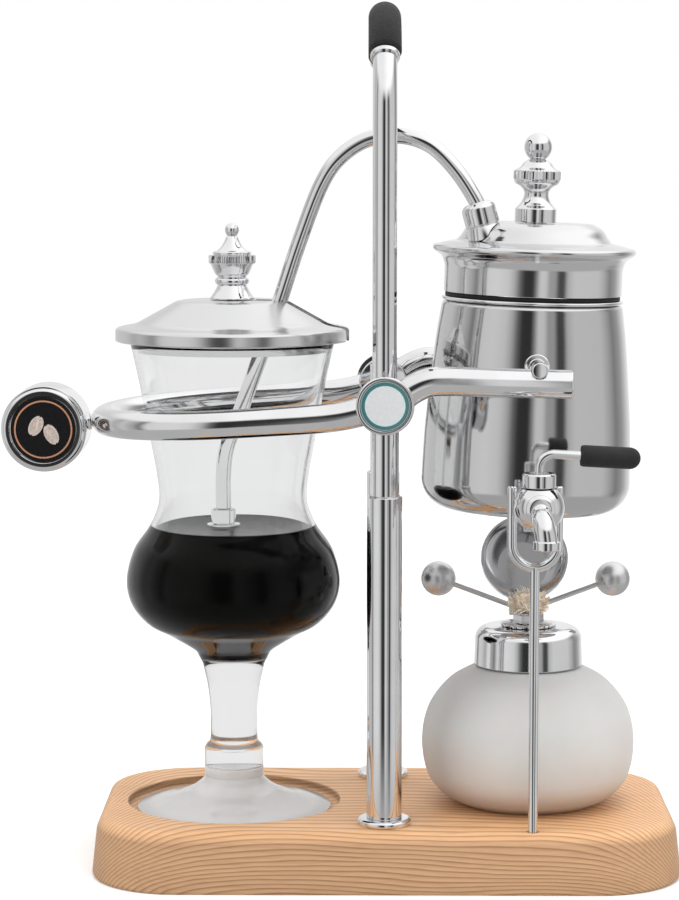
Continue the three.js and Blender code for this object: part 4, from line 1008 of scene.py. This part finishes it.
washer = turned("washer_plate", [(4.6, 105.2), (12.2, 105.2), (12.5, 105.4), (12.5, 106.0), (12.2, 106.2),
                                 (4.6, 106.2), (4.6, 105.2)], LAMP_AT, 192,
                lambda a, z: 0.05 * max(0, cos(24 * a)))
bracket = join(washer, lamp_block((-4.6, 6, 105.2), (4.6, 22.6, 106.2)))
for low, high in ((-4.6, -3.2), (3.2, 4.6)):
    bracket = join(bracket, lamp_block((low, 21, 105.2), (high, HY + 2.2, HZ + 2.2)))
place(cut(bracket, hinge_rod("hole", 1.3, -8, 8)), "lamp", CHROME, "hinge_bracket")


def wick():
    """Teased cotton: a tufted core in the holder's mouth. The loose locks pulled out of it are made by
    locks().
    """
    core = [(0, 34), (2.6, 34), (2.6, 111.4),
            *smooth([(3.2, 112), (5.4, 113.4), (6.9, 116), (6.6, 118.2), (4.6, 119.8), (0, 120.2)], 8)]
    core[-1] = (0, 120.2)
    piece = turned("wick_core", core, LAMP_AT, 96)
    top = 111.6 * MM
    for v in piece.data.vertices:
        if v.co.z > top:
            share = min(1, (v.co.z - top) / (3 * MM))
            p = v.co * 420
            push = field.noise(p) * 1.5 + field.noise(p * 2.7) * 0.9 + field.noise(p * 7) * 0.35
            away = Vector((v.co.x - LAMP_AXIS.x, v.co.y - LAMP_AXIS.y, 0))
            if away.length > 1e-6:
                v.co += away.normalized() * push * share * 0.9 * MM
            v.co.z += push * share * 0.5 * MM
    return piece


place(wick(), "lamp", COTTON, "wick")


def locks(count=340):
    """Thin curling locks of cotton that fan out of the holder's mouth, each one a tapering strand."""
    made = []
    ceiling, reach, steps = 122.9, 9.5, 8
    for _ in range(count):
        a = random.uniform(0, 2 * pi)
        lean = radians(84) * random.uniform(0.0, 1.0) ** 0.75
        way = Vector((cos(a) * sin(lean), sin(a) * sin(lean), cos(lean)))
        point = at_lamp(2.6 * way.x, 2.6 * way.y, 111.9 + random.uniform(0, 1.2))
        curl = Vector([random.uniform(-1, 1) for _ in range(3)])
        length = random.uniform(0.85, 1.15) * (11.2 - 0.6 * sin(lean))
        points = []
        for i in range(steps):
            points.append(point.copy())
            way = (way + curl * 0.13).normalized()
            point += way * length / steps * MM
            flat = Vector((point.x - LAMP_AXIS.x, point.y - LAMP_AXIS.y))
            if flat.length > reach * MM:
                flat = flat.normalized() * reach * MM
                point.x, point.y = LAMP_AXIS.x + flat.x, LAMP_AXIS.y + flat.y
            point.z = min(max(point.z, 111.8 * MM), ceiling * MM)
        thick = random.uniform(0.22, 0.46)
        made.append((points, [thick * (1 - 0.75 * (i / (steps - 1)) ** 2) for i in range(steps)]))
    mesh = bpy.data.meshes.new("wick_locks")
    work = bmesh.new()
    for points, radii in made:
        lock = bar("lock", points, radii, 6)
        work.from_mesh(lock.data)
        bpy.data.objects.remove(lock)
    work.to_mesh(mesh)
    work.free()
    for polygon in mesh.polygons:
        polygon.use_smooth = True
    return add_object("wick_locks", mesh)


place(locks(), "lamp", COTTON)


# ------------------------------------------------------------------ the snuffer, drawn shut and turned open
SWING = Matrix.Translation(HINGE) @ Matrix.Rotation(-OPEN, 4, "X")
SHUT = SWING @ shift(0, -HINGE.y, 0)
r, rim, depth = 20.15, -1.2, 18.4
bell = raised([(r - 1.1, 0), (r - 0.2, 0), (r, 0.2), (r, 3.8),
               *smooth([(r - 0.15, 4.4), (r - 1.6, 9), (r - 3.2, 12.9), (r - 5, 15.6), (r - 6.6, 18.2),
                        (12.0, 19.2)], 6), (11.2, 19.4), (10.9, 19.1), (10.6, 19.1), (10.3, 19.4),
               (0, 19.4), (0, depth), (11.6, depth), (r - 6, 14.8), (r - 2.7, 8.6), (r - 1.1, 4),
               (r - 1.1, 0)], rim)
bell = turned("bell", bell, SHUT, 128)
leaf = block("leaf", (-2.7 * MM, (r - HY - 0.6) * MM, -1.1 * MM), (2.7 * MM, 0, 0.5 * MM))
leaf.data.transform(SWING)
bell = join(join(bell, leaf), hinge_rod("knuckle", 1.9, -2.7, 2.7))
place(cut(bell, hinge_rod("hole", 1.3, -9, 9)), "snuffer", CHROME, "snuffer_bell")
place(hinge_rod("axle", 1, -7.4, 7.4), "snuffer", STEEL_PART, "snuffer_axle")
for side, sign in (("left", -1), ("right", 1)):
    end = HINGE + Vector((sign * 40.1, 0, 15)) * MM
    collar = hinge_rod("collar", 2.1, *sorted((sign * 5.2, sign * 7.4)))
    start = HINGE + Vector((sign * 6.3, 0, 2.3)) * MM
    arm = bar("arm", [start, end], 1.2, 32)
    handle = join(join(ball(f"snuffer_arm_{side}", 8, end), arm), collar)
    place(cut(handle, hinge_rod("hole", 1.3, -9, 9)), "snuffer", CHROME_SOFT, f"snuffer_handle_{side}")

for name in ("column_bolt_front", "column_bolt_rear"):
    frame["nodes"][name].data.materials.clear()
    frame["nodes"][name].data.materials.append(STEEL_PART[0])


# ------------------------------------------------------------------ floor, light and camera
SPAN = 40
floor_mesh = bpy.data.meshes.new("floor")
floor_mesh.from_pydata([(-SPAN, -SPAN, 0), (SPAN, -SPAN, 0), (SPAN, SPAN, 0), (-SPAN, SPAN, 0)], [],
                       [(0, 1, 2, 3)])
floor = add_object("floor", floor_mesh)
floor.visible_glossy = False
floor.visible_transmission = False
floor_look = Surface("pale_floor", Base_Color=(0.93, 0.93, 0.93, 1), Roughness=1.0, Specular_IOR_Level=0)
floor_mesh.materials.append(floor_look.material)


def soft_panel(name, spot, size, power):
    """A soft light aimed at the middle of the brewer. Metal and glass don't show the panel itself."""
    data = bpy.data.lights.new(name, "AREA")
    data.shape = "RECTANGLE"
    data.size, data.size_y = size
    data.energy = power
    light = add_object(name, data)
    light.location = spot
    light.rotation_euler = (Vector((0, 0, 0.18)) - Vector(spot)).to_track_quat("-Z", "Y").to_euler()
    light.visible_glossy = False
    light.visible_transmission = False


soft_panel("key", (-1.3, -1.2, 1.3), (0.8, 0.8), 6)
soft_panel("fill", (1.6, -0.7, 0.9), (0.5, 1.0), 4)
soft_panel("top", (0, -0.1, 1.7), (1.2, 1.2), 12)

# The studio: soft boxes and dark flags round the horizon for what the metal reflects, with a white ceiling
# and a grey ground, and plain even tones for every other ray. Angles are in degrees from the front, positive
# to the right.
BANDS = [(-180, 0.85), (-150, 0.72), (-122, 0.70), (-110, 0.48), (-100, 0.64), (-88, 0.44), (-81, 0.22),
         (-73, 0.76), (-50, 0.82), (-35, 0.74), (-27, 0.52), (-20, 0.16), (-14, 0.04), (-3, 0.03), (1, 0.26),
         (6, 0.76), (13, 0.72), (18, 0.40), (25, 0.42), (30, 0.07), (37, 0.07), (42, 0.54), (52, 0.70),
         (90, 0.68), (102, 0.50), (114, 0.28), (128, 0.42), (146, 0.80), (163, 0.95)]


def level(brightness):
    return (brightness, brightness, brightness, 1)


world = bpy.data.worlds.new("studio")
bpy.context.scene.world = world
world.use_nodes = True
sky = Nodes(world.node_tree)
background = sky.tree.nodes["Background"].inputs
background["Strength"].default_value = 1.0
x, y, z = sky.node("SeparateXYZ", {"Vector": sky.node("TexCoord", {}).outputs["Generated"]}).outputs
turn = sky.maths("ARCTAN2", x, sky.maths("MULTIPLY", y, -1.0))
bands = sky.ramp(sky.spread(turn, 0.0, 1.0, -pi, pi), *[(0.5 + angle / 360, b) for angle, b in BANDS])
above = sky.spread(z, 0.0, 1.0, 0.36, 0.60, "SMOOTHSTEP")
below = sky.spread(z, 0.0, 1.0, -0.30, -0.46, "SMOOTHSTEP")
to_right = sky.spread(x, 0.0, 1.0, -0.5, 0.7, "SMOOTHSTEP")
ceiling = sky.mix(to_right, level(1.02), level(1.32))
reflected = sky.mix(below, sky.mix(above, bands, ceiling), level(0.50))
ray = sky.node("LightPath", {}).outputs
shown = sky.mix(ray["Is Glossy Ray"], level(1.08), reflected)
shown = sky.mix(ray["Is Transmission Ray"], shown, level(0.82))
shown = sky.mix(ray["Is Camera Ray"], shown, level(1.0))
sky.tree.links.new(shown, background["Color"])

camera_data = bpy.data.cameras.new("camera")
camera_data.lens = 110
camera_data.sensor_width = 36
camera = add_object("camera", camera_data)
camera.location = (-0.008, -1.230, 0.319)
camera.rotation_euler = (radians(90 - 6.226), 0, radians(0.56))
bpy.context.scene.camera = camera
bpy.context.scene.view_settings.view_transform = "Standard"
